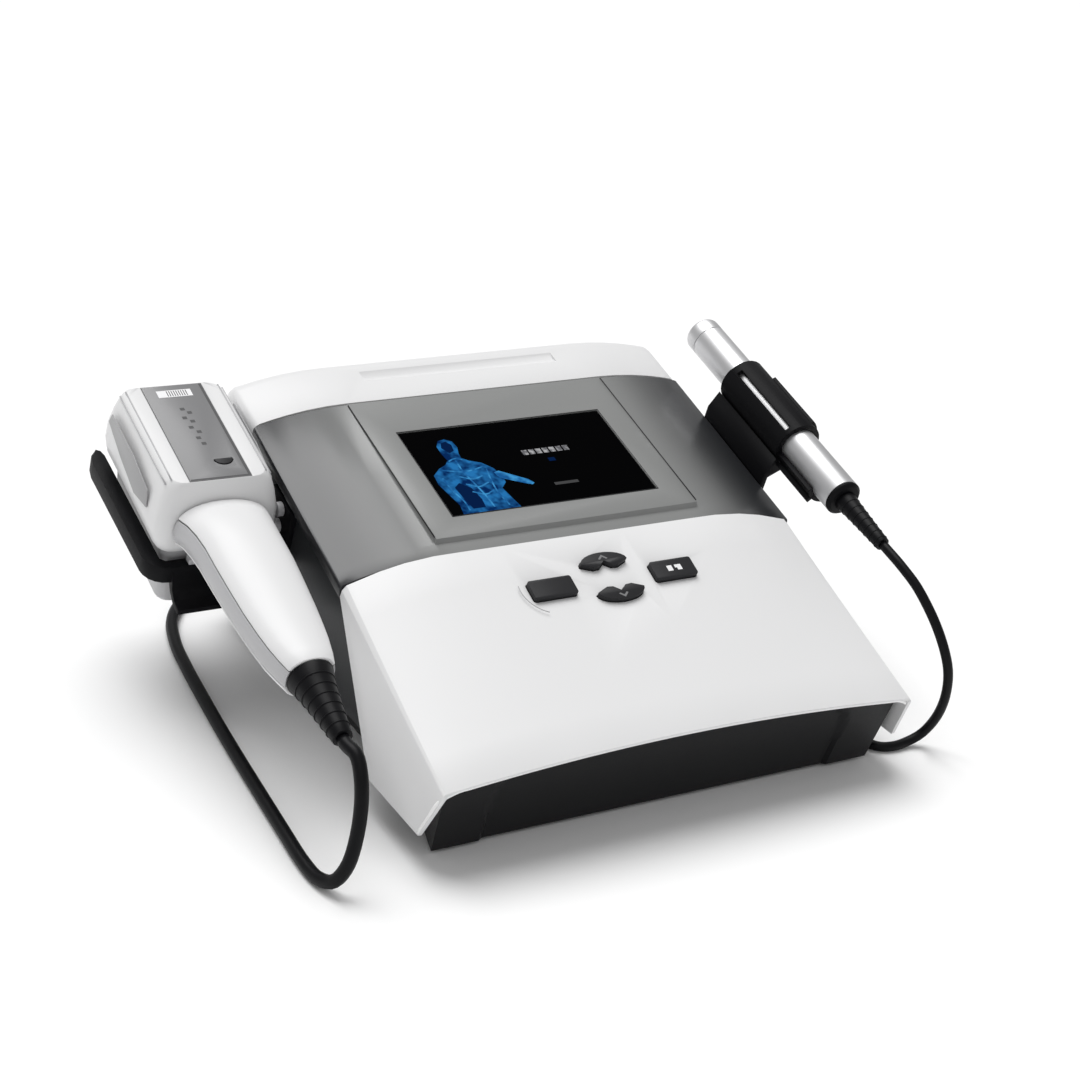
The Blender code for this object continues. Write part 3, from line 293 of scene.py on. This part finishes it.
# ---------------------------------------------------------------- meshes

def paint(obj, slot, body, material=None):
    """Gives a finished piece its material and slot, and makes it ride with a body."""
    obj.data.materials.clear()
    obj.data.materials.append(material or SLOTS[slot])
    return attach(obj, body)


def new_mesh(name, verts, faces, at, smooth=False):
    """A mesh object from points in a frame."""
    mesh = bpy.data.meshes.new(name)
    mesh.from_pydata([tuple(at @ Vector(v)) for v in verts], [], faces)
    obj = bpy.data.objects.new(name, mesh)
    bpy.context.scene.collection.objects.link(obj)
    mesh.polygons.foreach_set("use_smooth", [smooth] * len(mesh.polygons))
    mesh.update()
    return obj


def finer(node, slot, body, width, segments=3, angle=28.0):
    """A finer copy of a CAD piece: welded, with rounded edges and smooth sides."""
    source = bpy.data.objects[node]
    obj = bpy.data.objects.new(node + "_fine", source.data.copy())
    bpy.context.scene.collection.objects.link(obj)
    obj.matrix_world = source.matrix_world
    bm = bmesh.new()
    bm.from_mesh(obj.data)
    bmesh.ops.remove_doubles(bm, verts=bm.verts, dist=0.01 * MM)
    bm.to_mesh(obj.data)
    bm.free()
    rounding = obj.modifiers.new("rounding", "BEVEL")
    rounding.width = width * MM
    rounding.segments = segments
    rounding.limit_method = "ANGLE"
    rounding.angle_limit = math.radians(angle)
    rounding.harden_normals = True
    obj.data.polygons.foreach_set("use_smooth", [True] * len(obj.data.polygons))
    smoothed = baked(obj)
    paint(smoothed, slot, body, OWN_FINISH.get(node))
    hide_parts(node)
    return smoothed


def baked(obj):
    """The object with its modifiers applied."""
    graph = bpy.context.evaluated_depsgraph_get()
    done = bpy.data.meshes.new_from_object(obj.evaluated_get(graph))
    obj.modifiers.clear()
    obj.data = done
    return obj


def tube(name, points, radius, at, sides=10, closed=False):
    """A round tube along points given in a frame's millimetres."""
    line = [at @ Vector(p) for p in points]
    count = len(line)
    verts = []
    normal = None
    for i, p in enumerate(line):
        before_p = line[i - 1] if i or closed else line[0]
        after_p = line[(i + 1) % count] if i < count - 1 or closed else line[-1]
        along = (after_p - before_p).normalized()
        if normal is None:
            normal = along.orthogonal().normalized()
        normal = (normal - along * normal.dot(along)).normalized()
        side = along.cross(normal)
        for k in range(sides):
            angle = 2 * math.pi * k / sides
            verts.append(p + (normal * math.cos(angle) + side * math.sin(angle)) * radius * MM)
    faces = []
    for i in range(count if closed else count - 1):
        for k in range(sides):
            a, b = i * sides + k, i * sides + (k + 1) % sides
            step = ((i + 1) % count) * sides
            faces.append((a, b, step + (k + 1) % sides, step + k))
    if not closed:
        faces.append(tuple(reversed(range(sides))))
        faces.append(tuple(range((count - 1) * sides, count * sides)))
    return new_mesh(name, verts, faces, Matrix.Identity(4), smooth=True)


def plate(name, loop, height, thickness, at):
    """A thin flat plate over a loop of (x, y), its top at height."""
    count = len(loop)
    verts = [(x, y, height) for x, y in loop] + [(x, y, height - thickness) for x, y in loop]
    faces = [tuple(range(count)), tuple(reversed(range(count, 2 * count)))]
    for k in range(count):
        nxt = (k + 1) % count
        faces.append((nxt, k, count + k, count + nxt))
    obj = new_mesh(name, verts, faces, at)
    bm = bmesh.new()
    bm.from_mesh(obj.data)
    bmesh.ops.recalc_face_normals(bm, faces=bm.faces)
    bm.to_mesh(obj.data)
    bm.free()
    return obj


def joined(name, pieces):
    """Several meshes in the row frame made into one object."""
    bm = bmesh.new()
    for piece in pieces:
        bm.from_mesh(piece.data)
    mesh = bpy.data.meshes.new(name)
    bm.to_mesh(mesh)
    bm.free()
    for piece in pieces:
        bpy.data.objects.remove(piece)
    obj = bpy.data.objects.new(name, mesh)
    bpy.context.scene.collection.objects.link(obj)
    return obj


def rectangle(x0, y0, x1, y1):
    """The corners of a rectangle, in turn."""
    return [(x0, y0), (x1, y0), (x1, y1), (x0, y1)]


# ---------------------------------------------------------------- camera and light

def aim_camera():
    """A camera at the photo's viewing angle."""
    data = bpy.data.cameras.new("camera")
    data.lens = 74.05
    data.sensor_width = 36.0
    camera = bpy.data.objects.new("camera", data)
    bpy.context.scene.collection.objects.link(camera)
    right = Vector((0.86416, -0.49260, 0.10283))
    up = Vector((0.12770, 0.41234, 0.90204))
    forward = Vector((0.48674, 0.76637, -0.41923))
    turn = Matrix((right, up, -forward)).transposed().to_4x4()
    camera.matrix_world = Matrix.Translation(world((-714.2, -1092.6, 718.8))) @ turn
    bpy.context.scene.camera = camera


def area_light(name, at, towards, size, power):
    """A soft box that shines from one point towards another."""
    data = bpy.data.lights.new(name, "AREA")
    data.energy = power
    data.shape = "RECTANGLE"
    data.size, data.size_y = size
    light = bpy.data.objects.new(name, data)
    bpy.context.scene.collection.objects.link(light)
    light.location = at
    light.rotation_euler = (Vector(towards) - Vector(at)).to_track_quat("-Z", "Y").to_euler()


def soft_sun(at, strength, spread):
    """An even overhead light from a wide patch of sky."""
    data = bpy.data.lights.new("overhead", "SUN")
    data.energy = strength
    data.angle = math.radians(spread)
    light = bpy.data.objects.new("overhead", data)
    bpy.context.scene.collection.objects.link(light)
    light.rotation_euler = Vector(at).to_track_quat("Z", "Y").to_euler()


def build_stage():
    """A white studio: an even world, an overhead light, a front light and the floor."""
    white = bpy.data.worlds.new("studio")
    white.use_nodes = True
    background = white.node_tree.nodes["Background"]
    background.inputs["Color"].default_value = (1.0, 1.0, 1.0, 1.0)
    background.inputs["Strength"].default_value = 0.42
    plain = white.node_tree.nodes.new("ShaderNodeBackground")
    plain.inputs["Color"].default_value = (1.0, 1.0, 1.0, 1.0)
    path = white.node_tree.nodes.new("ShaderNodeLightPath")
    seen = white.node_tree.nodes.new("ShaderNodeMixShader")
    output = white.node_tree.nodes["World Output"]
    links = white.node_tree.links
    links.new(path.outputs["Is Camera Ray"], seen.inputs["Fac"])
    links.new(background.outputs["Background"], seen.inputs[1])
    links.new(plain.outputs["Background"], seen.inputs[2])
    links.new(seen.outputs["Shader"], output.inputs["Surface"])
    bpy.context.scene.world = white
    bpy.context.scene.view_settings.view_transform = "Standard"
    soft_sun((-0.1, 0.9, 2.3), 2.35, 46.0)
    area_light("front", (-0.9, -1.6, 1.8), (0, 0, 0.1), (1.8, 1.2), 4.0)
    material, _ = shader("floor", (0.95, 0.95, 0.95), 0.7, shine=0.2)
    floor = new_mesh("floor", [(-30, -30, 0), (30, -30, 0), (30, 30, 0), (-30, 30, 0)],
                     [(0, 1, 2, 3)], Matrix.Identity(4))
    floor.data.materials.append(material)


# ---------------------------------------------------------------- leads

APPLICATOR_ROUTE = [
    (-215.5, -144.0, 81.0), (-216.0, -152.5, 70.0), (-217.5, -157.5, 55.0),
    (-220.5, -160.5, 38.0), (-225.0, -161.5, 22.0), (-230.5, -156.5, 9.5),
    (-234.5, -143.0, 4.6), (-235.0, -122.0, 4.3), (-233.0, -96.0, 4.3), (-229.5, -53.0, 4.3),
    (-226.0, -11.0, 4.3), (-222.0, 32.0, 4.3), (-217.0, 78.0, 4.3), (-213.0, 111.0, 4.3),
    (-207.5, 145.0, 4.3), (-197.0, 178.0, 4.3), (-178.0, 203.0, 4.3), (-148.0, 214.5, 4.3),
    (-115.0, 214.0, 4.3), (-82.0, 208.5, 4.3)]
PROBE_ROUTE = [
    (191.5, -108.0, 120.5), (195.0, -124.0, 110.5), (200.5, -141.0, 91.0),
    (206.0, -151.0, 68.5), (209.5, -151.5, 48.0), (211.0, -146.5, 28.0),
    (208.5, -139.0, 11.0), (199.0, -136.5, 4.4), (186.0, -137.0, 3.3),
    (175.5, -133.0, 3.3), (169.5, -120.0, 3.3), (168.0, -100.0, 3.3), (169.5, -60.0, 3.3),
    (175.0, 0.0, 3.3), (181.0, 60.0, 3.3), (185.0, 120.0, 3.3), (181.0, 165.0, 3.3),
    (165.0, 195.0, 3.3), (138.0, 208.5, 3.3), (105.0, 211.0, 3.3)]


def smooth_route(points, spacing):
    """Points at an even spacing on a smooth line through the given ones."""
    steps = 16
    pts = [Vector(p) for p in points]
    dense = []
    for i in range(len(pts) - 1):
        a, b = pts[i], pts[i + 1]
        before_a = pts[i - 1] if i else a * 2 - b
        after_b = pts[i + 2] if i + 2 < len(pts) else b * 2 - a
        for k in range(steps):
            t = k / steps
            dense.append(((a * 2) + (b - before_a) * t
                          + (before_a * 2 - a * 5 + b * 4 - after_b) * t * t
                          + (a * 3 - before_a - b * 3 + after_b) * t * t * t) * 0.5)
    dense.append(pts[-1])
    out = [dense[0]]
    run = 0.0
    for a, b in zip(dense, dense[1:]):
        run += (b - a).length
        if run >= spacing:
            out.append(b)
            run = 0.0
    if (out[-1] - dense[-1]).length < spacing * 0.5:
        out.pop()
    out.append(dense[-1])
    return out


def coil_points(at, radius, diameter, direction):
    """A neat coil on the table: strands wound round the bundle's middle as it goes round."""
    steps = int(COIL_TURNS * POINTS_PER_TURN)
    strand_start, strand_turn, strand_pitch = -90.0, 90.0, 1.15
    rho = COIL_SPREAD * diameter
    centre_z = diameter * (0.5 + COIL_SPREAD)
    points = []
    for k in range(steps + 1):
        turns = COIL_TURNS * k / steps
        round_angle = -math.pi / 2 + direction * 2 * math.pi * turns
        strand = math.radians(strand_start - strand_turn * turns * strand_pitch)
        r = radius + rho * math.cos(strand)
        points.append((at[0] + r * math.cos(round_angle), at[1] + r * math.sin(round_angle),
                       centre_z + rho * math.sin(strand)))
    return points


def lead_line(exit_at, route, coil, plug_x, diameter, direction):
    """The whole line of a lead, from its strain relief to its plug."""
    along = Vector((0, -math.cos(SLOPE), -math.sin(SLOPE)))
    at, radius = coil
    wound = coil_points(at, radius, diameter, direction)
    last = Vector(wound[-1])
    side = -direction
    tail = [(last.x + side * 26, last.y + 1.0, last.z + 4.0),
            (last.x * 0.38 + plug_x * 0.62, last.y - 8.0, last.z + 14.0),
            (last.x * 0.08 + plug_x * 0.92, last.y - 26.0, SOCKET_Z - 14.0),
            (plug_x, PLUG_END + 14.0, SOCKET_Z - 2.0), (plug_x, PLUG_END + 0.6, SOCKET_Z)]
    return smooth_route([exit_at, exit_at + along * 5.0] + route + wound + tail, ROUTE_SPACING)


def applicator_exit():
    """Where the large applicator's lead leaves its strain relief, in the console's frame."""
    tilt = Matrix.Rotation(SLOPE, 3, "X") @ Matrix.Rotation(APPLICATOR_TURN, 3, "Z")
    return APPLICATOR_AT + tilt @ Vector((0, HANDLE_END - 3 * GAP - RELIEF_LENGTH,
                                          HANDLE_AXIS_Z))


def probe_exit():
    """Where the probe's lead leaves its strain relief, in the console's frame."""
    tilt = Matrix.Rotation(SLOPE, 3, "X")
    return PROBE_AT + tilt @ Vector((0, -PROBE_HALF - 3 * GAP - RELIEF_LENGTH, 0))


def build_lead(name, exit_at, route, coil, plug_x, diameter, direction):
    """One lead as a single piece."""
    line = lead_line(exit_at, route, coil, plug_x, diameter, direction)
    lead = tube(name + "_whole", line, diameter / 2, CONSOLE, sides=14)
    lead.data.materials.append(LEAD_RUBBER)
    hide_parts(name, name + "_coil", name + "_tail")
    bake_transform(lead)
    return lead


# ---------------------------------------------------------------- console details

def smoothstep(value):
    """Runs smoothly from 0 to 1 as the value does."""
    value = max(0.0, min(1.0, value))
    return value * value * (3 - 2 * value)


def hood_underside(x):
    """Height of the hood's underside above the nose, which follows the hood's crown."""
    middle_z, clearance = 66.0, 0.4
    return middle_z - HOOD_CROWN * (abs(x) / HOOD_HALF) ** 2 - clearance


def recess_depth(x, z, top):
    """How far the nose's front is set back: a wide shallow recess with round upper corners."""
    half, radius, margin, depth, run = 128.0, 12.0, 6.5, 2.2, 1.6
    dx = abs(x) - (half - radius)
    dz = z - (top - margin - radius)
    if dx > 0 and dz > 0:
        inside = radius - math.hypot(dx, dz)
    else:
        inside = radius - max(dx, dz)
    return depth * smoothstep(inside / run)


def build_nose():
    """The black nose under the hood, with its recessed front."""
    columns = [-1.0 + k / 60 for k in range(121)]
    rows = [k / 26 for k in range(27)]
    foot_z, back_y = 3.0, -92.5
    # Each column runs from a low point to a high one: its ends are the nose's two back edges
    left_back = (-146.0, back_y, foot_z, -160.0, back_y, 46.0)
    right_back = (146.0, back_y, foot_z, 160.0, back_y, 46.0)
    line = [left_back]
    for s in columns:
        high = 163.5 * s
        line.append((160.0 * s, -140.0, foot_z, high, -156.5, hood_underside(high)))
    line.append(right_back)
    verts = []
    for x0, y0, z0, x1, y1, z1 in line:
        for t in rows:
            x, y, z = x0 + (x1 - x0) * t, y0 + (y1 - y0) * t, z0 + (z1 - z0) * t
            if y0 < back_y:
                y += recess_depth(x, z, z1)
            verts.append((x, y, z))
    count = len(rows)
    faces = []
    for i in range(len(line) - 1):
        for k in range(count - 1):
            a = i * count + k
            faces.append((a, a + count, a + count + 1, a + 1))
    faces.append(tuple(i * count for i in reversed(range(len(line)))))
    nose = new_mesh("front_base_fine", verts, faces, CONSOLE, smooth=True)
    wall = nose.modifiers.new("wall", "SOLIDIFY")
    wall.thickness = 2.5 * MM
    wall.offset = -1.0
    baked(nose)
    nose.data.set_sharp_from_angle(angle=math.radians(38))
    paint(nose, "black_base", "console")
    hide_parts("front_base")


def build_hood_painted_highlight():
    """A painted highlight: a brighter white bead along the hood's front edge and down both
    cheeks, where the edge catches the light.
    """
    radius, middle_z, drop = 1.15, 66.3, 0.25
    top = [(x, HOOD_FRONT_Y + radius,
            middle_z - HOOD_CROWN * (x / HOOD_HALF) ** 2 - radius - drop)
           for x in range(-165, 166, 6)]
    left = [(-173.8, -147.2, 23.2), (-171.8, -152.6, 35.0), (-169.3, -159.6, 50.0)]
    right = [(-x, y, z) for x, y, z in reversed(left)]
    bead = tube("hood_painted_highlight", smooth_route(left + top[1:-1] + right, 3.0), radius, CONSOLE)
    paint(bead, "white_shell", "console", PAINTED_HIGHLIGHT_WHITE)


def arc_shell(name, inner, outer, start, end, y0, y1, at):
    """Part of a tube's wall along a frame's y axis, between two angles."""
    steps = 14
    verts = []
    for k in range(steps + 1):
        angle = math.radians(start + (end - start) * k / steps)
        for radius, y in ((inner, y0), (outer, y0), (outer, y1), (inner, y1)):
            verts.append((radius * math.cos(angle), y, radius * math.sin(angle)))
    faces = [(3, 2, 1, 0), tuple(4 * steps + k for k in range(4))]
    for k in range(steps):
        for side in range(4):
            a, b = 4 * k + side, 4 * k + (side + 1) % 4
            faces.append((a, b, b + 4, a + 4))
    obj = new_mesh(name, verts, faces, at, smooth=True)
    obj.data.set_sharp_from_angle(angle=math.radians(40))
    return obj


def build_clip_parts():
    """The clip's liner, its closed ends and narrowed slot, and the jaw under the barrel."""
    rear, front = 36.8, -38.8
    inner, outer = 13.5, 17.0
    shells = (("liner", 16.9, 17.6, 140.0, 300.0, front, rear),
              ("rear_collar", inner, outer, 100.0, 158.0, rear - 6.0, rear),
              ("front_collar", inner, outer, 100.0, 158.0, front, front + 4.0),
              ("upper_slot_lip", inner, outer, 100.0, 121.5, front, rear),
              ("lower_slot_lip", inner, outer, 136.5, 158.0, front, rear),
              ("jaw", inner, 16.6, 195.0, 300.0, -80.0, front + 0.8))
    pieces = [arc_shell(*shell, PROBE) for shell in shells]
    paint(joined("clip_parts", pieces), "holder_black", "console")


def build_screen_picture():
    """A generic figure on a dark screen, with a few plain bars beside it.

    Its outlines are measured from the screen's lower left corner.
    """
    top, thick = 0.06, 0.05
    left, low = -77.0, 43.0
    torso = [(8, 0), (9.5, 9), (7, 20), (4.5, 31), (5.5, 40), (12, 46), (18, 49), (21.5, 53),
             (20.5, 60), (20.5, 68), (24, 73.5), (29, 74.5), (33.5, 71.5), (34.5, 65),
             (32.5, 59), (32, 54), (36, 50.5), (43.5, 47), (49, 40.5), (52, 32), (51, 25),
             (46, 20), (48, 9), (50, 0)]
    arm = [(47.5, 36), (51.5, 37), (68, 25), (70.5, 21), (68.5, 19.5), (64, 21.5), (49, 30)]
    shapes = [("figure_body", torso, GLOW_BLUE, 0.0), ("figure_arm", arm, GLOW_CYAN, 0.01)]
    for name, loop, material, lift in shapes:
        obj = plate(name, [(left + x, y - low) for x, y in loop], top + lift, thick, PANEL)
        paint(obj, "screen_black", "console", material)
    shade = [(23, 66), (25, 71), (29, 72), (31.5, 68), (30.5, 62), (26.5, 60)]
    core = [(17, 4), (15, 16), (14, 26), (19, 30), (25, 24), (27, 12), (26, 4)]
    dark = [plate("shade", [(left + x, y - low) for x, y in loop], top + 0.02, thick, PANEL)
            for loop in (shade, core)]
    paint(joined("figure_shade", dark), "screen_black", "console", GLOW_DEEP)
    flat = PANEL @ Matrix.Diagonal((1, 1, 0.1, 1))
    strokes = []
    for points in (((27, 52), (27, 40), (29, 28), (31, 16), (32, 3)),
                   ((13, 44), (20, 42), (27, 40), (35, 41), (43, 43)),
                   ((10, 36), (11, 24), (14, 12), (14, 3)),
                   ((44, 40), (42, 28), (41, 16), (43, 3)),
                   ((22, 36), (30, 32), (38, 34)), ((23, 28), (31, 24), (39, 27)),
                   ((24, 20), (32, 16), (39, 19)), ((22, 52), (27, 54), (32, 52))):
        line = smooth_route([(left + x, y - low, top + 0.02) for x, y in points], 2.0)
        strokes.append(tube("stroke", line, 0.55, flat, sides=6))
    paint(joined("figure_lines", strokes), "screen_black", "console", GLOW_CYAN)
    pitch, wide = 5.2, 3.9
    bars = [rectangle(77 + pitch * k, 49, 77 + pitch * k + wide, 54) for k in range(7)]
    marks = [plate("bar", [(left + x, y - low) for x, y in loop], top, thick, PANEL)
             for loop in bars]
    paint(joined("screen_bars", marks), "screen_black", "console", GLOW_PALE)
    for name, corners, material in (("screen_dot", (92, 40, 97, 43.5), GLOW_DEEP),
                                    ("screen_low_bar", (84, 16, 102, 18.6), GLOW_DIM)):
        loop = [(left + x, y - low) for x, y in rectangle(*corners)]
        paint(plate(name, loop, top, thick, PANEL), "screen_black", "console", material)


def build_panel_lines():
    """Painted shade in the groove round the flat field of the display panel and under its lower
    step, drawn as dark lines, and the screen's dark surround.
    """
    lines = []
    # Dark tubes at both sides of the field and along its lower step are painted shade in the
    # groove
    for side in (-1, 1):
        points = [(side * 97.9, y, 0.0) for y in (-60.0, -20.0, 30.0, 77.0)]
        lines.append(tube("line", points, 0.45, PANEL, sides=6))
    step = [(x, -60.7, -2.2) for x in (-97.5, 0.0, 97.5)]
    lines.append(tube("line", step, 0.95, PANEL, sides=8))
    paint(joined("panel_groove_shade", lines), "panel_grey", "console", DARK_LINE)
    half_x, half_y = 77.4, 43.7
    rim = [(x, y, 0.0) for x, y in rectangle(-half_x, -half_y, half_x, half_y)]
    edge = tube("screen_rim", rim, 0.4, PANEL, sides=6, closed=True)
    paint(edge, "panel_grey", "console", DARK_LINE)


def build_key_marks():
    """Marks on the keys, each riding with its own key, and the arc beside the menu key."""
    top = 1.75
    keys = (("key_start", [rectangle(44.2, 33.8, 48.0, 38.2), rectangle(50.0, 35.8, 51.4, 38.2),
                           rectangle(51.4, 33.8, 54.8, 38.2)], MARK_WHITE),
            ("key_up", [[(0.0, 51.8), (3.5, 55.0), (7.0, 51.8), (5.8, 51.2), (3.5, 53.2),
                         (1.2, 51.2)]], LABEL_GREY),
            ("key_down", [[(1.0, 22.8), (4.5, 19.6), (8.0, 22.8), (6.8, 23.4), (4.5, 21.4),
                           (2.2, 23.4)]], LABEL_GREY))
    for key, loops, material in keys:
        marks = [plate("mark", loop, top, 0.1, HOOD) for loop in loops]
        paint(joined(key + "_mark", marks), "key_rubber", key, material)
    menu_x, menu_y, reach = -40.5, 38.0, 22.0
    angles = [math.radians(a) for a in range(170, 245, 6)]
    arc = [(menu_x + reach * math.cos(a), menu_y + reach * math.sin(a), 0.05) for a in angles]
    paint(tube("hood_arc", arc, 0.3, HOOD, sides=6), "white_shell", "console", LIGHT_GREY)


# ---------------------------------------------------------------- applicator details

def build_head_marks():
    """The marks on the large applicator's label, and the ribs along its head."""
    top = 0.36
    white = [rectangle(-12.0, 80.5, 11.0, 87.5)]
    dark = [rectangle(-12.0 + 1.6 * k, 81.2, -11.4 + 1.6 * k, 86.8) for k in range(4, 13)]
    dark += [rectangle(-2.5 + dx, y, 0.5 + dx, y + 2.6)
             for dx, y in ((0, 66), (3.5, 62), (-1.5, 57), (2.5, 53), (-0.5, 47), (3.0, 42),
                           (0.5, 36), (2.0, 30))]
    # The last two are darker strips along the label's right and bottom edges
    dark += [rectangle(18.2, -2.5, 19.9, 92.0), rectangle(-19.6, -3.4, 19.9, -2.2)]
    for name, loops, material, height in (("head_bar", white, MARK_WHITE, top),
                                          ("head_marks", dark, MARK_DARK, top + 0.03)):
        marks = [plate("mark", loop, height, 0.06, APPLICATOR) for loop in loops]
        paint(joined(name, marks), "label_grey", "applicator", material)
    ribs = []
    for side in (-1, 1):
        for x, z in ((31.0, -0.15), (34.4, -3.0)):
            line = [(side * x, y, z) for y in (0.0, 10.0, 45.0, 80.0, 90.0)]
            ribs.append(tube("rib", line, 0.55, APPLICATOR, sides=8))
    paint(joined("head_ribs", ribs), "light_grey", "applicator")


def half_moon_reach(angle):
    """Distance from the half-moon opening's middle to its edge in one direction."""
    dx, dy = math.cos(angle), math.sin(angle)
    half, depth, flat, middle = 6.4, 5.8, 2.4, 2.75
    if dy > 0:
        return min(middle / dy, half / abs(dx) if abs(dx) > 0.01 else 1e9)
    a = (dx / half) ** 2 + (dy / depth) ** 2
    b = -2 * dy * flat / depth ** 2
    c = (flat / depth) ** 2 - 1
    return (-b + math.sqrt(b * b - 4 * a * c)) / (2 * a)


def build_key_surround():
    """Fills the label round the half-moon key, so that only a thin gap shows."""
    at_x, at_y, middle_y, top, wall = 7.6, 12.0, 0.2, 0.28, 1.2
    half_x, half_y = 6.75, 4.85
    corners = [math.atan2(sy * half_y - middle_y, sx * half_x)
               for sx in (-1, 1) for sy in (-1, 1)]
    angles = sorted(corners + [math.radians(a) for a in range(-180, 180, 6)])
    verts = []
    for angle in angles:
        dx, dy = math.cos(angle), math.sin(angle)
        wall_x = half_x / abs(dx) if abs(dx) > 1e-6 else 1e9
        wall_y = (half_y - math.copysign(middle_y, dy)) / abs(dy) if abs(dy) > 1e-6 else 1e9
        outer = min(wall_x, wall_y)
        inner = min(half_moon_reach(angle), outer - 0.05)
        for reach, z in ((outer, top), (inner, top), (inner, top - wall)):
            verts.append((at_x + reach * dx, at_y + middle_y + reach * dy, z))
    faces = []
    for k in range(len(angles)):
        a, b = 3 * k, 3 * ((k + 1) % len(angles))
        faces.append((a, b, b + 1, a + 1))
        faces.append((a + 1, b + 1, b + 2, a + 2))
    paint(new_mesh("key_surround", verts, faces, APPLICATOR), "label_grey", "applicator")


def rings_round(name, slot, body, at, axis_y, axis_z, stations, thick):
    """Raised rings round a strain relief, each at (distance along it, radius)."""
    rings = []
    for y, radius in stations:
        loop = [(radius * math.cos(a), axis_y + y, axis_z + radius * math.sin(a))
                for a in (2 * math.pi * k / 32 for k in range(32))]
        rings.append(tube("ring", loop, thick, at, sides=8, closed=True))
    return paint(joined(name, rings), slot, body)


def relief_radius(y, length, wide, narrow):
    """A strain relief's radius at a distance along it."""
    return wide + (narrow - wide) * (y / length) ** 0.7


def build_reliefs():
    """The raised rings on both strain reliefs."""
    stations = [(-y, relief_radius(y, RELIEF_LENGTH, 14.6, 6.2)) for y in (8, 15, 22, 29, 36, 43)]
    rings_round("applicator_relief_ribs", "lead_rubber", "applicator", APPLICATOR,
                HANDLE_END - GAP, HANDLE_AXIS_Z, stations, 0.5)
    stations = [(-y, relief_radius(y, 46.0, 7.6, 4.8)) for y in (7, 13, 19, 25, 31, 37, 43)]
    rings_round("probe_relief_ribs", "lead_rubber", "probe", PROBE, -PROBE_HALF - 4.0 - GAP, 0.0,
                stations, 0.35)


# ---------------------------------------------------------------- the scene

FINE = (
    ("front_hood", "console", 1.0), ("rear_shell", "console", 1.0),
    ("display_bezel", "console", 0.5), ("head_upper_shell", "applicator", 0.25),
    ("head_lower_shell", "applicator", 0.8), ("handle_upper_shell", "applicator", 0.7),
    ("handle_lower_shell", "applicator", 0.7), ("handle_band_left", "applicator", 0.3),
    ("handle_band_right", "applicator", 0.3),
    ("base_tray", "console", 0.8), ("side_cover_left", "console", 0.5),
    ("side_cover_right", "console", 0.5), ("cradle_fork", "console", 1.6),
    ("probe_clip", "console", 0.8), ("probe_bracket", "console", 1.0),
    ("key_menu", "key_menu", 0.7), ("key_start", "key_start", 0.7), ("key_up", "key_up", 0.7),
    ("key_down", "key_down", 0.7), ("start_key", "applicator_key", 0.5),
    ("head_label", "applicator", 0.15), ("head_inlay_left", "applicator", 0.3),
    ("head_inlay_right", "applicator", 0.3), ("rear_panel", "console", 0.3),
    ("power_switch", "mains_switch", 0.5), ("cradle_pad", "console", 0.6),
    ("cradle_screw_upper", "console", 0.5), ("cradle_screw_lower", "console", 0.5),
    ("treatment_face", "applicator", 0.5), ("probe_face", "probe", 0.5),
    ("probe_barrel", "probe", 0.3), ("probe_end_cap", "probe", 0.4),
    ("applicator_strain_relief", "applicator", 0.5), ("probe_strain_relief", "probe", 0.4))

aim_camera()
build_stage()
build_lead("applicator_lead", applicator_exit(), APPLICATOR_ROUTE,
           ((-45.0, 256.0), 50.0), -125.0, LEAD_D, 1)
build_lead("probe_lead", probe_exit(), PROBE_ROUTE, ((66.0, 248.0), 38.0), 140.0,
           PROBE_LEAD_D, -1)
for slot_name, nodes in NODE_SLOTS.items():
    for node_name in nodes:
        cad = bpy.data.objects[node_name]
        cad.data.materials.clear()
        cad.data.materials.append(SLOTS[slot_name])
slot_of = {node: slot for slot, nodes in NODE_SLOTS.items() for node in nodes}
for node_name, body_name, rounding_width in FINE:
    finer(node_name, slot_of[node_name], body_name, rounding_width)
build_nose()
build_hood_painted_highlight()
build_clip_parts()
build_screen_picture()
build_panel_lines()
build_key_marks()
build_head_marks()
build_key_surround()
build_reliefs()
